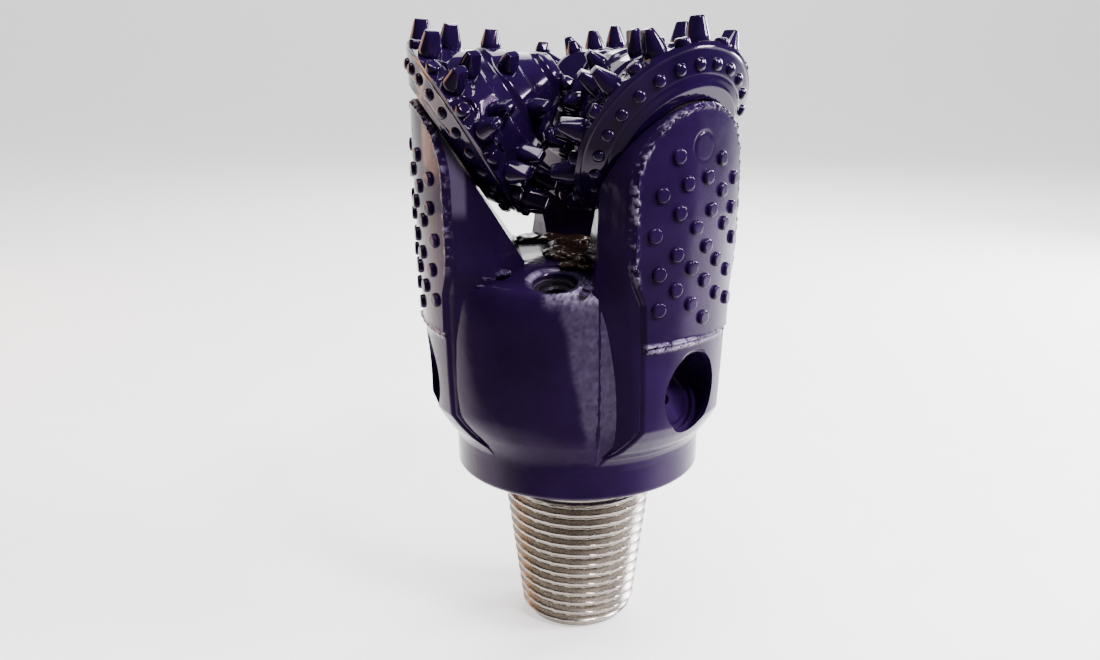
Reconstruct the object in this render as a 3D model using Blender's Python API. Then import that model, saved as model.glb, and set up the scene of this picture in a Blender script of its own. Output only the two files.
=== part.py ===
"""Tricone rock bit: three legs with cones, bearings, nozzles and grease reservoirs on a turned pin.

Lengths in the tables are millimetres. The make-up shoulder lies in the plane z = 0,
the pin points down and the cones point up.
"""

import math

import bmesh
import bpy
import numpy as np
from mathutils import Matrix, Vector

MM = 0.001
CLEAR = 0.3

# Whole bit
LEG_COUNT = 3
LEG_STEP = 360.0 / LEG_COUNT
FIRST_LEG = -30.0

# Journal axis and cone; the gauge is the reach of the cone's rim from the bit's axis. The skew turns
# the journal and its ball hole about the vertical through the cone's centre, so the cones drag a little.
JOURNAL_TILT = 33.0
JOURNAL_SKEW = -5.0
CONE_RADIUS = 42.0
CONE_HALF_ANGLE = 36.5
CONE_APEX = (-0.7, 176.7)
CONE_HEIGHT = CONE_RADIUS / math.tan(math.radians(CONE_HALF_ANGLE))
CONE_SIDE = CONE_RADIUS / math.sin(math.radians(CONE_HALF_ANGLE))
TILT_COS = math.cos(math.radians(JOURNAL_TILT))
TILT_SIN = math.sin(math.radians(JOURNAL_TILT))
CONE_CENTRE = (CONE_APEX[0] + CONE_HEIGHT * TILT_COS, CONE_APEX[1] - CONE_HEIGHT * TILT_SIN)
GAUGE_RADIUS = CONE_CENTRE[0] + CONE_RADIUS * TILT_SIN

# Rotary pin and shank
PIN_LENGTH = 76.2
PIN_BASE_RADIUS = 33.34
PIN_TAPER = 0.125
PIN_BORE = 12.7
SHANK_RADIUS = 53.98
SHANK_TOP = 15.5
SHOULDER_CHAMFER = 1.2
NECK_LENGTH = 12.0

# Leg outside: radius at height
LEG_OUTER = [
    (SHANK_RADIUS + 0.1, 12.0),
    (SHANK_RADIUS + 0.3, 16.2),
    (GAUGE_RADIUS - 11.0, 21.8),
    (GAUGE_RADIUS - 7.8, 27.0),
    (GAUGE_RADIUS - 5.1, 32.0),
    (GAUGE_RADIUS - 4.2, 48.7),
    (GAUGE_RADIUS - 3.5, 66.5),
    (GAUGE_RADIUS - 2.8, 90.0),
    (GAUGE_RADIUS - 1.9, 116.0),
    (GAUGE_RADIUS - 1.5, 170.0),
]
PAD_RISE = 0.9
PAD_BOTTOM = 67.5
PAD_ARCH = 128.0
PAD_TOP = 149.0
PAD_HALF_WIDTH = 24.5

# Leg arm: height, half width outside, in the middle, inside
ARM_SECTIONS = [
    (8.0, 16.0, 26.5, 31.0),
    (32.0, 17.0, 27.5, 33.5),
    (60.0, 18.0, 28.5, 36.0),
    (84.0, 19.0, 29.3, 36.5),
    (92.0, 24.5, 31.0, 35.0),
    (100.0, 28.5, 32.0, 33.5),
    (116.0, 30.5, 32.0, 32.5),
    (130.0, 30.5, 32.0, 32.0),
    (138.0, 29.4, 30.9, 30.9),
    (145.0, 26.2, 27.7, 27.7),
    (151.0, 21.0, 22.5, 22.5),
    (155.5, 14.5, 15.5, 15.5),
    (158.5, 4.5, 5.0, 5.0),
]
ARM_STATIONS = (GAUGE_RADIUS + 3.2, GAUGE_RADIUS - 12.3, GAUGE_RADIUS - 26.3, 12.0)
ARM_ROOT_HALF_WIDTH = 9.5

# Body core between the legs
CORE_OUTER = [
    (SHANK_RADIUS - 0.2, SHANK_TOP + CLEAR),
    (55.2, 19.0),
    (57.2, 27.0),
    (58.8, 42.0),
    (59.4, 58.0),
    (59.0, 74.0),
    (58.2, 83.5),
    (56.6, 87.6),
    (53.0, 89.2),
    (47.0, 90.8),
    (36.0, 94.5),
    (20.0, 96.5),
    (0.0, 97.5),
]
CORE_SECTOR = (-37.0, 83.0)
PLENUM = [(12.7, SHANK_TOP - 5.0), (15.5, 20.0), (17.0, 32.0), (15.5, 46.0), (10.5, 56.0), (0.0, 59.0)]

# Journal and cone, on the journal axis; zero at the gauge plane, plus towards the nose
BACK_FACE = -9.0
BACK_FACE_RADIUS = CONE_RADIUS * 0.68
LEG_FACE = -9.8
JOURNAL_ROOT = 1.0
SEAL_LAND = CONE_RADIUS * 0.512
SEAL_LAND_END = -2.8
JOURNAL_RADIUS = SEAL_LAND - 2.0
BALL_RADIUS = 3.9
BALL_TRACK = JOURNAL_RADIUS - 2.0
THRUST_T = CONE_HEIGHT * 0.467
BALL_T = THRUST_T - 6.5
GROOVE_RADIUS = BALL_RADIUS + 0.55
BALL_COUNT = 5
FLANGE_RADIUS = JOURNAL_RADIUS - 4.0
WASHER_THICK = 2.0
PILOT_RADIUS = FLANGE_RADIUS * 0.53
PILOT_CHAMFER = 0.8
BUSH_WALL = 2.4
BUSH_START = -2.4
BUSH_END = BALL_T - 4.8
SEAL_SECTION = 2.25
SEAL_T = -5.4

# Cone rows: share of the side from the apex, number, insert radius, stand-out, first angle
GAUGE_ROW = (0.915, 12, 4.6, 8.7, 0.0)
CONE_ROWS = {
    1: [GAUGE_ROW, (0.717, 9, 4.5, 8.4, 12.0), (0.419, 6, 4.0, 6.0, 5.0)],
    2: [GAUGE_ROW, (0.623, 8, 4.4, 7.6, 7.0), (0.317, 4, 3.7, 4.6, 20.0)],
    3: [GAUGE_ROW, (0.770, 10, 4.5, 8.4, 15.0), (0.527, 7, 4.1, 6.6, 3.0), (0.229, 3, 3.0, 3.2, 9.0)],
}
NOSE_SHARE = {1: 0.839, 2: 0.74, 3: 0.784}
CONE_NOSE_T = {number: share * CONE_HEIGHT for number, share in NOSE_SHARE.items()}
CONE_NOSE_WALL = 5.4
PILOT_END = min(CONE_NOSE_T.values()) - CONE_NOSE_WALL
NOSE_INSERT = {1: (3.2, 3.6), 2: None, 3: None}
GROOVE_DEPTH = 1.5
GROOVE_HALF = 1.9
LAND_HALF = 4.4
INSERT_EMBED = 1.6

# Ball loading hole and its plug
RACE_FOOT = (
    CONE_CENTRE[0] - BALL_T * TILT_COS - BALL_TRACK * TILT_SIN,
    CONE_CENTRE[1] + BALL_T * TILT_SIN - BALL_TRACK * TILT_COS,
)
BALL_HOLE_Z = RACE_FOOT[1] + 0.6
BALL_HOLE_RADIUS = BALL_RADIUS + 0.7
BALL_HOLE_END = RACE_FOOT[0] - 0.2
PLUG_OUTER = GAUGE_RADIUS - 2.8
PLUG_INNER = RACE_FOOT[0] + 5.8
PLUG_WAIST = 2.9

# Grease reservoir
RES_MOUTH = (GAUGE_RADIUS - 4.6, 45.0)
RES_DIP = 25.0
RES_RADIUS = 15.0
RES_FLOOR = 19.0
RES_CHAMBER_RADIUS = 11.0
RES_CHAMBER_DEPTH = 14.0
CAP_THICK = 4.2
CAP_TOP_HOLE = 2.4
RING_SECTION = 1.6
RING_GROOVE = 0.9
GREASE_HOLE_RADIUS = 2.4
GREASE_HOLE_FOOT = (RES_MOUTH[0] - 25.2, RES_MOUTH[1] - 10.0)
GREASE_HOLE_HEAD = (GAUGE_RADIUS - 11.8, BALL_HOLE_Z)

# Nozzle
NOZZLE_AZIMUTH = 64.0
NOZZLE_MOUTH = (47.2, 92.0)
NOZZLE_TILT = 15.0
POCKET_RADIUS = 8.8
POCKET_DEPTH = 25.0
NOZZLE_LENGTH = 18.0
NOZZLE_ENTRY = 5.4
NOZZLE_THROAT = 4.4
NOZZLE_RING_SECTION = 1.3
NOZZLE_SEAL_SECTION = 1.1
NOZZLE_STEP = 3.6
PORT_RADIUS = 6.2
PORT_FOOT = (6.0, 33.0)

TOOL_REACH = 20.0

CONE_STEPS = 24
JOURNAL_STEPS = 20
BODY_STEPS = 48
SMALL_STEPS = 16

PAINT = ("paint_violet", (0.085, 0.055, 0.165), 0.35, 0.22)
STEEL = ("turned_steel", (0.62, 0.60, 0.57), 1.0, 0.28)
BRONZE = ("bearing_bronze", (0.62, 0.42, 0.18), 1.0, 0.32)
RUBBER = ("seal_rubber", (0.02, 0.02, 0.022), 0.0, 0.65)
CARBIDE = ("carbide_grey", (0.28, 0.28, 0.29), 1.0, 0.38)
SPRING = ("spring_steel", (0.35, 0.35, 0.36), 1.0, 0.35)


def clear_scene():
    """Remove every object that the file opened with."""
    for obj in list(bpy.data.objects):
        bpy.data.objects.remove(obj, do_unlink=True)


def material(spec):
    """Return the Principled material of a (name, colour, metallic, roughness) row."""
    name, colour, metallic, roughness = spec
    mat = bpy.data.materials.get(name)
    if mat is None:
        mat = bpy.data.materials.new(name)
        mat.use_nodes = True
        shader = mat.node_tree.nodes["Principled BSDF"]
        shader.inputs["Base Color"].default_value = (*colour, 1.0)
        shader.inputs["Metallic"].default_value = metallic
        shader.inputs["Roughness"].default_value = roughness
        mat.diffuse_color = (*colour, 1.0)
    return mat


def mesh_object(name, bm, spec=None, parent=None):
    """Turn a bmesh into a named object in the scene."""
    bmesh.ops.remove_doubles(bm, verts=bm.verts, dist=1e-7)
    bmesh.ops.recalc_face_normals(bm, faces=bm.faces)
    mesh = bpy.data.meshes.new(name)
    bm.to_mesh(mesh)
    bm.free()
    obj = bpy.data.objects.new(name, mesh)
    bpy.context.collection.objects.link(obj)
    if spec is not None:
        mesh.materials.append(material(spec))
    if parent is not None:
        obj.parent = parent
    return obj


def empty(name, location=(0.0, 0.0, 0.0), rotation=(0.0, 0.0, 0.0), parent=None):
    """Add an empty that carries a local frame."""
    obj = bpy.data.objects.new(name, None)
    bpy.context.collection.objects.link(obj)
    obj.empty_display_size = 0.01
    obj.location = location
    obj.rotation_euler = rotation
    obj.parent = parent
    return obj


def lathe(profile, steps=SMALL_STEPS, closed=True):
    """Spin a profile of (radius, height) rows about z into a closed bmesh."""
    bm = bmesh.new()
    verts = [bm.verts.new((r * MM, 0.0, z * MM)) for r, z in profile]
    edges = [bm.edges.new(pair) for pair in zip(verts[:-1], verts[1:])]
    if closed:
        edges.append(bm.edges.new((verts[-1], verts[0])))
    bmesh.ops.spin(
        bm,
        geom=verts + edges,
        cent=(0.0, 0.0, 0.0),
        axis=(0.0, 0.0, 1.0),
        angle=math.tau,
        steps=steps,
        use_merge=True,
    )
    bmesh.ops.remove_doubles(bm, verts=bm.verts, dist=1e-7)
    return bm


def disc_profile(outer, low, high, inner=0.0):
    """Give the profile of a disc, or of a ring when it has an inner radius."""
    return [(inner, low), (outer, low), (outer, high), (inner, high)]


def arc(centre, radius, start, end, count):
    """Return points on an arc in the (radius, height) plane, angles in degrees."""
    angles = np.radians(np.linspace(start, end, count))
    return [(centre[0] + radius * math.cos(a), centre[1] + radius * math.sin(a)) for a in angles]


def between(start, end):
    """Return the matrix whose z axis runs from start to end, both in millimetres."""
    a, b = Vector(start) * MM, Vector(end) * MM
    turn = (b - a).normalized().to_track_quat("Z", "Y").to_matrix().to_4x4()
    return Matrix.Translation(a) @ turn


def rod(start, end, radius, steps=24, tip=None):
    """Make a solid rod between two points, with a second radius at its end if given."""
    length = (Vector(end) - Vector(start)).length
    last = radius if tip is None else tip
    bm = lathe([(0.0, 0.0), (radius, 0.0), (last, length), (0.0, length)], steps, closed=False)
    bm.transform(between(start, end))
    return bm


def combine(target, bm, operation):
    """Apply one exact boolean to the target with the given bmesh."""
    parent = target.parent
    target.parent = None
    tool = mesh_object("cutter", bm)
    tool.hide_render = True
    tool.display_type = "WIRE"
    mod = target.modifiers.new(operation.lower(), "BOOLEAN")
    mod.operation = operation
    mod.solver = "EXACT"
    mod.object = tool
    with bpy.context.temp_override(object=target, active_object=target, selected_objects=[target]):
        bpy.ops.object.modifier_apply(modifier=mod.name)
    bpy.data.objects.remove(tool, do_unlink=True)
    target.parent = parent
    return target


def tidy(obj):
    """Weld stray points, split the faces into triangles and shade the piece."""
    bm = bmesh.new()
    bm.from_mesh(obj.data)
    bmesh.ops.remove_doubles(bm, verts=bm.verts, dist=2e-6)
    bmesh.ops.dissolve_degenerate(bm, edges=bm.edges, dist=2e-6)
    bmesh.ops.triangulate(bm, faces=bm.faces)
    bm.to_mesh(obj.data)
    bm.free()
    obj.data.shade_smooth()
    obj.data.set_sharp_from_angle(angle=math.radians(32.0))
    return obj


def journal_frame():
    """Return the matrix of the journal axis in the leg's frame."""
    angle = math.radians(JOURNAL_TILT)
    axis = Vector((-math.cos(angle), 0.0, math.sin(angle)))
    up = Vector((math.sin(angle), 0.0, math.cos(angle)))
    side = axis.cross(up)
    turn = Matrix((up, side, axis)).transposed().to_4x4()
    skew = Matrix.Rotation(math.radians(JOURNAL_SKEW), 4, "Z")
    return Matrix.Translation(Vector((CONE_CENTRE[0], 0.0, CONE_CENTRE[1])) * MM) @ skew @ turn


def skewed(x, z):
    """Return a point of the leg's middle plane after the journal's skew, in millimetres."""
    turn = math.radians(JOURNAL_SKEW)
    reach = x - CONE_CENTRE[0]
    return Vector((CONE_CENTRE[0] + reach * math.cos(turn), reach * math.sin(turn), z))


def on_journal(bm):
    """Move a bmesh from the journal's frame to the leg's."""
    bm.transform(journal_frame())
    return bm


def journal_profile():
    """Profile of the journal: seal land, bearing, ball groove, flange and pilot."""
    inner = math.degrees(math.asin((JOURNAL_RADIUS - BALL_TRACK) / GROOVE_RADIUS))
    outer = math.degrees(math.asin((FLANGE_RADIUS - BALL_TRACK) / GROOVE_RADIUS))
    groove = [
        (BALL_TRACK + GROOVE_RADIUS * math.sin(a), BALL_T + GROOVE_RADIUS * math.cos(a))
        for a in np.radians(np.linspace(180.0 - inner, 360.0 + outer, 5))
    ]
    return [
        (0.0, LEG_FACE - JOURNAL_ROOT),
        (SEAL_LAND, LEG_FACE - JOURNAL_ROOT),
        (SEAL_LAND, SEAL_LAND_END),
        (JOURNAL_RADIUS, SEAL_LAND_END),
        *groove,
        (FLANGE_RADIUS, THRUST_T),
        (PILOT_RADIUS, THRUST_T),
        (PILOT_RADIUS, PILOT_END - PILOT_CHAMFER),
        (PILOT_RADIUS - PILOT_CHAMFER, PILOT_END),
        (0.0, PILOT_END),
    ]


def cone_bore_profile():
    """Profile of the cone's inside, from its back face to the end of the pilot bore."""
    bore = JOURNAL_RADIUS + BUSH_WALL + 2 * CLEAR
    mouth = SEAL_LAND + 0.8
    gland = SEAL_LAND + 2 * SEAL_SECTION + 2 * CLEAR
    shoulder = JOURNAL_RADIUS + CLEAR
    seat = FLANGE_RADIUS + 0.8
    face = THRUST_T + WASHER_THICK + 2 * CLEAR
    low = math.degrees(math.asin((shoulder - BALL_TRACK) / GROOVE_RADIUS))
    high = math.degrees(math.asin((seat - BALL_TRACK) / GROOVE_RADIUS))
    groove = [
        (BALL_TRACK + GROOVE_RADIUS * math.sin(a), BALL_T + GROOVE_RADIUS * math.cos(a))
        for a in np.radians(np.linspace(180.0 - low, high, 5))
    ]
    return [
        (mouth, BACK_FACE),
        (mouth, SEAL_T - SEAL_SECTION - 0.25),
        (gland, SEAL_T - SEAL_SECTION - 0.25),
        (gland, SEAL_T + SEAL_SECTION + 0.25),
        (bore, SEAL_T + SEAL_SECTION + 0.25),
        (bore, BUSH_END + CLEAR),
        (shoulder, BUSH_END + CLEAR),
        *groove,
        (seat, face),
        (PILOT_RADIUS + CLEAR, face),
        (PILOT_RADIUS + CLEAR, PILOT_END + 1.2),
        (0.0, PILOT_END + 1.2),
    ]


def surface_at(slant):
    """Return (radius, height) on the cone's side at a slant distance from its apex."""
    half = math.radians(CONE_HALF_ANGLE)
    return slant * math.sin(half), CONE_HEIGHT - slant * math.cos(half)


def cone_shell_profile(number):
    """Profile of the cone's outside with a land under each row and grooves between."""
    half = math.radians(CONE_HALF_ANGLE)
    normal = (math.cos(half), math.sin(half))
    nose_t = CONE_NOSE_T[number]
    nose_slant = (CONE_HEIGHT - nose_t) / math.cos(half)
    rows = sorted((row[0] * CONE_SIDE for row in CONE_ROWS[number]), reverse=True)
    points = [
        (BACK_FACE_RADIUS - 0.8, BACK_FACE),
        (BACK_FACE_RADIUS, BACK_FACE + 0.7),
        (CONE_RADIUS - 0.5, -0.4),
        (CONE_RADIUS - 0.3, 0.6),
    ]
    for index, slant in enumerate(rows):
        inner_edge = slant - LAND_HALF
        if inner_edge > nose_slant + 3.0:
            points.append(surface_at(inner_edge + 0.6))
        following = rows[index + 1] + LAND_HALF if index + 1 < len(rows) else nose_slant + 4.4
        if inner_edge - following > 2 * GROOVE_HALF + 1.0:
            r, t = surface_at((inner_edge + following) / 2)
            points.append((r - GROOVE_DEPTH * normal[0], t - GROOVE_DEPTH * normal[1]))
            points.append(surface_at(following - 0.6))
    r, t = surface_at(nose_slant + 2.6)
    points.append((r, t))
    points.append((r - 2.6, nose_t))
    points.append((0.0, nose_t))
    return points


def insert_mesh(radius, height, sides=6):
    """Build one chisel-crested insert that stands on z = 0."""
    levels = [
        (radius, radius, -INSERT_EMBED),
        (radius, radius, height * 0.42),
        (radius * 0.72, radius * 0.34, height * 0.93),
    ]
    bm = bmesh.new()
    rings = []
    for along, across, z in levels:
        angles = (np.arange(sides) + 0.5) * math.tau / sides
        ring = [(along * math.cos(a) * MM, across * math.sin(a) * MM, z * MM) for a in angles]
        rings.append([bm.verts.new(point) for point in ring])
    for low, high in zip(rings[:-1], rings[1:]):
        for k in range(sides):
            bm.faces.new((low[k], low[(k + 1) % sides], high[(k + 1) % sides], high[k]))
    bm.faces.new(list(reversed(rings[0])))
    top = bm.verts.new((0.0, 0.0, height * MM))
    for k in range(sides):
        bm.faces.new((rings[-1][k], rings[-1][(k + 1) % sides], top))
    return bm


def insert_matrix(slant, angle):
    """Return the matrix of an insert's seat on the cone's side."""
    half = math.radians(CONE_HALF_ANGLE)
    r, t = surface_at(slant)
    turn = math.radians(angle)
    out = Vector((math.cos(turn) * math.cos(half), math.sin(turn) * math.cos(half), math.sin(half)))
    seat = Vector((r * math.cos(turn), r * math.sin(turn), t)) * MM
    along = Vector((-math.sin(turn), math.cos(turn), 0.0))
    across = out.cross(along)
    basis = Matrix((across, along, out)).transposed()
    if basis.determinant() < 0.0:
        basis = Matrix((-across, along, out)).transposed()
    return Matrix.Translation(seat) @ basis.to_4x4()


def join_into(bm, other):
    """Append one bmesh to another and free the second."""
    mesh = bpy.data.meshes.new("joined")
    other.to_mesh(mesh)
    bm.from_mesh(mesh)
    other.free()
    bpy.data.meshes.remove(mesh)


def build_cone(number, parent):
    """Model one cone with its rows of inserts as one closed body."""
    profile = list(reversed(cone_shell_profile(number))) + cone_bore_profile()
    cone = mesh_object(f"cone_{number}", lathe(profile, CONE_STEPS, closed=False), PAINT, parent)
    for share, count, radius, height, first in CONE_ROWS[number]:
        teeth = bmesh.new()
        for k in range(count):
            tooth = insert_mesh(radius, height)
            tooth.transform(insert_matrix(share * CONE_SIDE, first + 360.0 * k / count))
            join_into(teeth, tooth)
        combine(cone, teeth, "UNION")
    if NOSE_INSERT[number] is not None:
        radius, height = NOSE_INSERT[number]
        tooth = insert_mesh(radius, height)
        tooth.transform(Matrix.Translation((0.0, 0.0, CONE_NOSE_T[number] * MM)))
        combine(cone, tooth, "UNION")
    return tidy(cone)


def arm_mesh():
    """Loft the leg's arm through its plan sections."""
    bm = bmesh.new()
    rings = []
    for z, outer, middle, inner in ARM_SECTIONS:
        root = min(ARM_ROOT_HALF_WIDTH, inner)
        half = list(zip(ARM_STATIONS, (outer, middle, inner, root)))
        ring = half + [(x, -y) for x, y in reversed(half)]
        rings.append([bm.verts.new((x * MM, y * MM, z * MM)) for x, y in ring])
    count = len(rings[0])
    for low, high in zip(rings[:-1], rings[1:]):
        for k in range(count):
            bm.faces.new((low[k], low[(k + 1) % count], high[(k + 1) % count], high[k]))
    bm.faces.new(rings[0])
    bm.faces.new(rings[-1])
    bmesh.ops.triangulate(bm, faces=bm.faces)
    return bm


def envelope_mesh(rise=0.0):
    """Revolve the outside line of the legs."""
    rows = [(r + rise, z) for r, z in LEG_OUTER]
    return lathe([(0.0, rows[0][1])] + rows + [(0.0, rows[-1][1])], BODY_STEPS, closed=False)


def wedge_mesh(start, end, radius=GAUGE_RADIUS + TOOL_REACH, low=0.0, high=CONE_CENTRE[1]):
    """Make a wedge between two azimuths, pulled back by half a gap on both sides."""
    bm = bmesh.new()
    gap = CLEAR / 2
    a, b = math.radians(start), math.radians(end)
    middle = (a + b) / 2
    tip = gap / math.sin((b - a) / 2)
    corner = Vector((math.cos(middle), math.sin(middle), 0.0)) * tip
    first = corner + Vector((math.cos(a), math.sin(a), 0.0)) * radius
    last = corner + Vector((math.cos(b), math.sin(b), 0.0)) * radius
    far = corner + Vector((math.cos(middle), math.sin(middle), 0.0)) * radius * 1.6
    rings = []
    for z in (low, high):
        rings.append([bm.verts.new((p.x * MM, p.y * MM, z * MM)) for p in (corner, first, far, last)])
    for k in range(4):
        bm.faces.new((rings[0][k], rings[0][(k + 1) % 4], rings[1][(k + 1) % 4], rings[1][k]))
    bm.faces.new(list(reversed(rings[0])))
    bm.faces.new(rings[1])
    return bm


def box_mesh(low, high):
    """Make a box between two corners."""
    bm = bmesh.new()
    bmesh.ops.create_cube(bm, size=1.0)
    size = [(b - a) * MM for a, b in zip(low, high)]
    centre = [(a + b) / 2 * MM for a, b in zip(low, high)]
    bm.transform(Matrix.Translation(centre) @ Matrix.Diagonal((*size, 1.0)))
    return bm


def reservoir_axis():
    """Return the mouth and the inward direction of the reservoir, in the leg's frame."""
    dip = math.radians(RES_DIP)
    mouth = Vector((RES_MOUTH[0], 0.0, RES_MOUTH[1]))
    inward = Vector((-math.cos(dip), 0.0, -math.sin(dip)))
    return mouth, inward


def nozzle_axis():
    """Return the mouth and the inward direction of the nozzle, in the leg's frame."""
    tilt, turn = math.radians(NOZZLE_TILT), math.radians(NOZZLE_AZIMUTH)
    out = Vector((math.cos(turn), math.sin(turn), 0.0))
    mouth = out * NOZZLE_MOUTH[0] + Vector((0.0, 0.0, NOZZLE_MOUTH[1]))
    inward = -(out * math.sin(tilt) + Vector((0.0, 0.0, math.cos(tilt))))
    return mouth, inward


def pad_mesh():
    """Outline of the raised pad, to be cut to the leg's outside."""
    bm = bmesh.new()
    outline = [(PAD_HALF_WIDTH, PAD_BOTTOM), (PAD_HALF_WIDTH, PAD_ARCH)]
    for angle in np.linspace(0.0, 180.0, 9)[1:-1]:
        a = math.radians(angle)
        outline.append((PAD_HALF_WIDTH * math.cos(a), PAD_ARCH + (PAD_TOP - PAD_ARCH) * math.sin(a)))
    outline += [(-PAD_HALF_WIDTH, PAD_ARCH), (-PAD_HALF_WIDTH, PAD_BOTTOM)]
    near = [bm.verts.new(((GAUGE_RADIUS - 12.0) * MM, y * MM, z * MM)) for y, z in outline]
    far = [bm.verts.new(((GAUGE_RADIUS + TOOL_REACH) * MM, y * MM, z * MM)) for y, z in outline]
    count = len(outline)
    for k in range(count):
        bm.faces.new((near[k], near[(k + 1) % count], far[(k + 1) % count], far[k]))
    bm.faces.new(near)
    bm.faces.new(far)
    return bm


def build_leg(number, parent):
    """Model one leg forging: arm, body sector, journal, ports and bores."""
    core_profile = [(0.0, SHANK_TOP + CLEAR)] + CORE_OUTER
    leg = mesh_object(f"leg_{number}", lathe(core_profile, BODY_STEPS, closed=False), PAINT, parent)

    arm = mesh_object("arm", arm_mesh())
    combine(arm, envelope_mesh(), "INTERSECT")
    combine(arm, wedge_mesh(*CORE_SECTOR, high=2 * CONE_CENTRE[1]), "INTERSECT")
    pad = mesh_object("pad", pad_mesh())
    combine(pad, envelope_mesh(PAD_RISE), "INTERSECT")
    combine(arm, take(pad), "UNION")
    reach = GAUGE_RADIUS + TOOL_REACH
    front = box_mesh((-reach, -reach, LEG_FACE), (reach, reach, 2 * reach))
    combine(arm, on_journal(front), "DIFFERENCE")
    combine(arm, box_mesh((0.0, -reach, -TOOL_REACH), (reach, reach, SHANK_TOP + CLEAR)), "DIFFERENCE")
    combine(arm, on_journal(lathe(journal_profile(), JOURNAL_STEPS, closed=False)), "UNION")
    combine(leg, wedge_mesh(*CORE_SECTOR), "INTERSECT")
    combine(leg, take(arm), "UNION")

    plenum = [(0.0, PLENUM[0][1])] + PLENUM
    combine(leg, lathe(plenum, SMALL_STEPS, closed=False), "DIFFERENCE")

    mouth, inward = nozzle_axis()
    far = mouth - inward * 20.0
    combine(leg, rod(far, mouth + inward * POCKET_DEPTH, POCKET_RADIUS, SMALL_STEPS), "DIFFERENCE")
    turn = math.radians(NOZZLE_AZIMUTH)
    foot = Vector((PORT_FOOT[0] * math.cos(turn), PORT_FOOT[0] * math.sin(turn), PORT_FOOT[1]))
    combine(leg, rod(mouth + inward * (POCKET_DEPTH - 2.0), foot, PORT_RADIUS, 10), "DIFFERENCE")

    mouth, inward = reservoir_axis()
    combine(leg, rod(mouth - inward * 25.0, mouth + inward * RES_FLOOR, RES_RADIUS, 20), "DIFFERENCE")
    deep = mouth + inward * (RES_FLOOR + RES_CHAMBER_DEPTH)
    combine(leg, rod(mouth, deep, RES_CHAMBER_RADIUS, SMALL_STEPS), "DIFFERENCE")
    ring_low = RES_FLOOR - CAP_THICK - CLEAR * 2 - RING_SECTION
    groove = rod(
        mouth + inward * (ring_low - 0.1),
        mouth + inward * (ring_low + RING_SECTION + 0.1),
        RES_RADIUS + RING_GROOVE,
        20,
    )
    combine(leg, groove, "DIFFERENCE")

    foot = (GREASE_HOLE_FOOT[0], 0.0, GREASE_HOLE_FOOT[1])
    combine(leg, rod(foot, skewed(*GREASE_HOLE_HEAD), GREASE_HOLE_RADIUS, 8), "DIFFERENCE")
    start, end = skewed(reach, BALL_HOLE_Z), skewed(BALL_HOLE_END, BALL_HOLE_Z)
    combine(leg, rod(start, end, BALL_HOLE_RADIUS, 12), "DIFFERENCE")
    return tidy(leg)


def take(obj):
    """Return an object's mesh as a bmesh and remove the object."""
    bm = bmesh.new()
    bm.from_mesh(obj.data)
    bpy.data.objects.remove(obj, do_unlink=True)
    return bm


def ring_profile(centre, section, count=6):
    """Give the round section of an O-ring."""
    angles = np.arange(count) * math.tau / count
    return [(centre[0] + section * math.cos(a), centre[1] + section * math.sin(a)) for a in angles]


def build_bearing(number, parent):
    """Model the bush, the thrust washer, the seal and the balls on one journal."""
    low, high = JOURNAL_RADIUS + CLEAR, JOURNAL_RADIUS + CLEAR + BUSH_WALL
    bush = disc_profile(high, BUSH_START, BUSH_END, low)
    tidy(mesh_object(f"bush_{number}", lathe(bush, JOURNAL_STEPS), BRONZE, parent))
    start = THRUST_T + CLEAR
    washer = disc_profile(FLANGE_RADIUS + 0.3, start, start + WASHER_THICK, PILOT_RADIUS + 1.0)
    tidy(mesh_object(f"thrust_washer_{number}", lathe(washer), BRONZE, parent))
    centre = SEAL_LAND + SEAL_SECTION + CLEAR
    seal = ring_profile((centre, SEAL_T), SEAL_SECTION)
    tidy(mesh_object(f"journal_seal_{number}", lathe(seal, JOURNAL_STEPS), RUBBER, parent))
    for k in range(BALL_COUNT):
        turn = math.tau * (k + 0.5) / BALL_COUNT
        bm = bmesh.new()
        bmesh.ops.create_icosphere(bm, subdivisions=2, radius=BALL_RADIUS * MM)
        ball = mesh_object(f"ball_{number}_{k + 1}", bm, STEEL, parent)
        ball.location = (BALL_TRACK * MM * math.cos(turn), BALL_TRACK * MM * math.sin(turn), BALL_T * MM)
        ball.data.shade_smooth()


def build_plug(number, parent):
    """Model the plug that keeps the balls in, with its waist for grease."""
    length = PLUG_OUTER - PLUG_INNER
    radius = BALL_HOLE_RADIUS - CLEAR
    profile = [
        (0.0, 0.0),
        (radius, 0.0),
        (radius, 6.0),
        (PLUG_WAIST, 7.4),
        (PLUG_WAIST, length - 9.0),
        (radius, length - 7.6),
        (radius, length),
        (0.0, length),
    ]
    bm = lathe(profile, 12, closed=False)
    plug = mesh_object(f"ball_plug_{number}", bm, PAINT, parent)
    plug.location = skewed(PLUG_OUTER, BALL_HOLE_Z) * MM
    plug.rotation_euler = (0.0, -math.pi / 2, math.radians(JOURNAL_SKEW))
    return tidy(plug)


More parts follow.
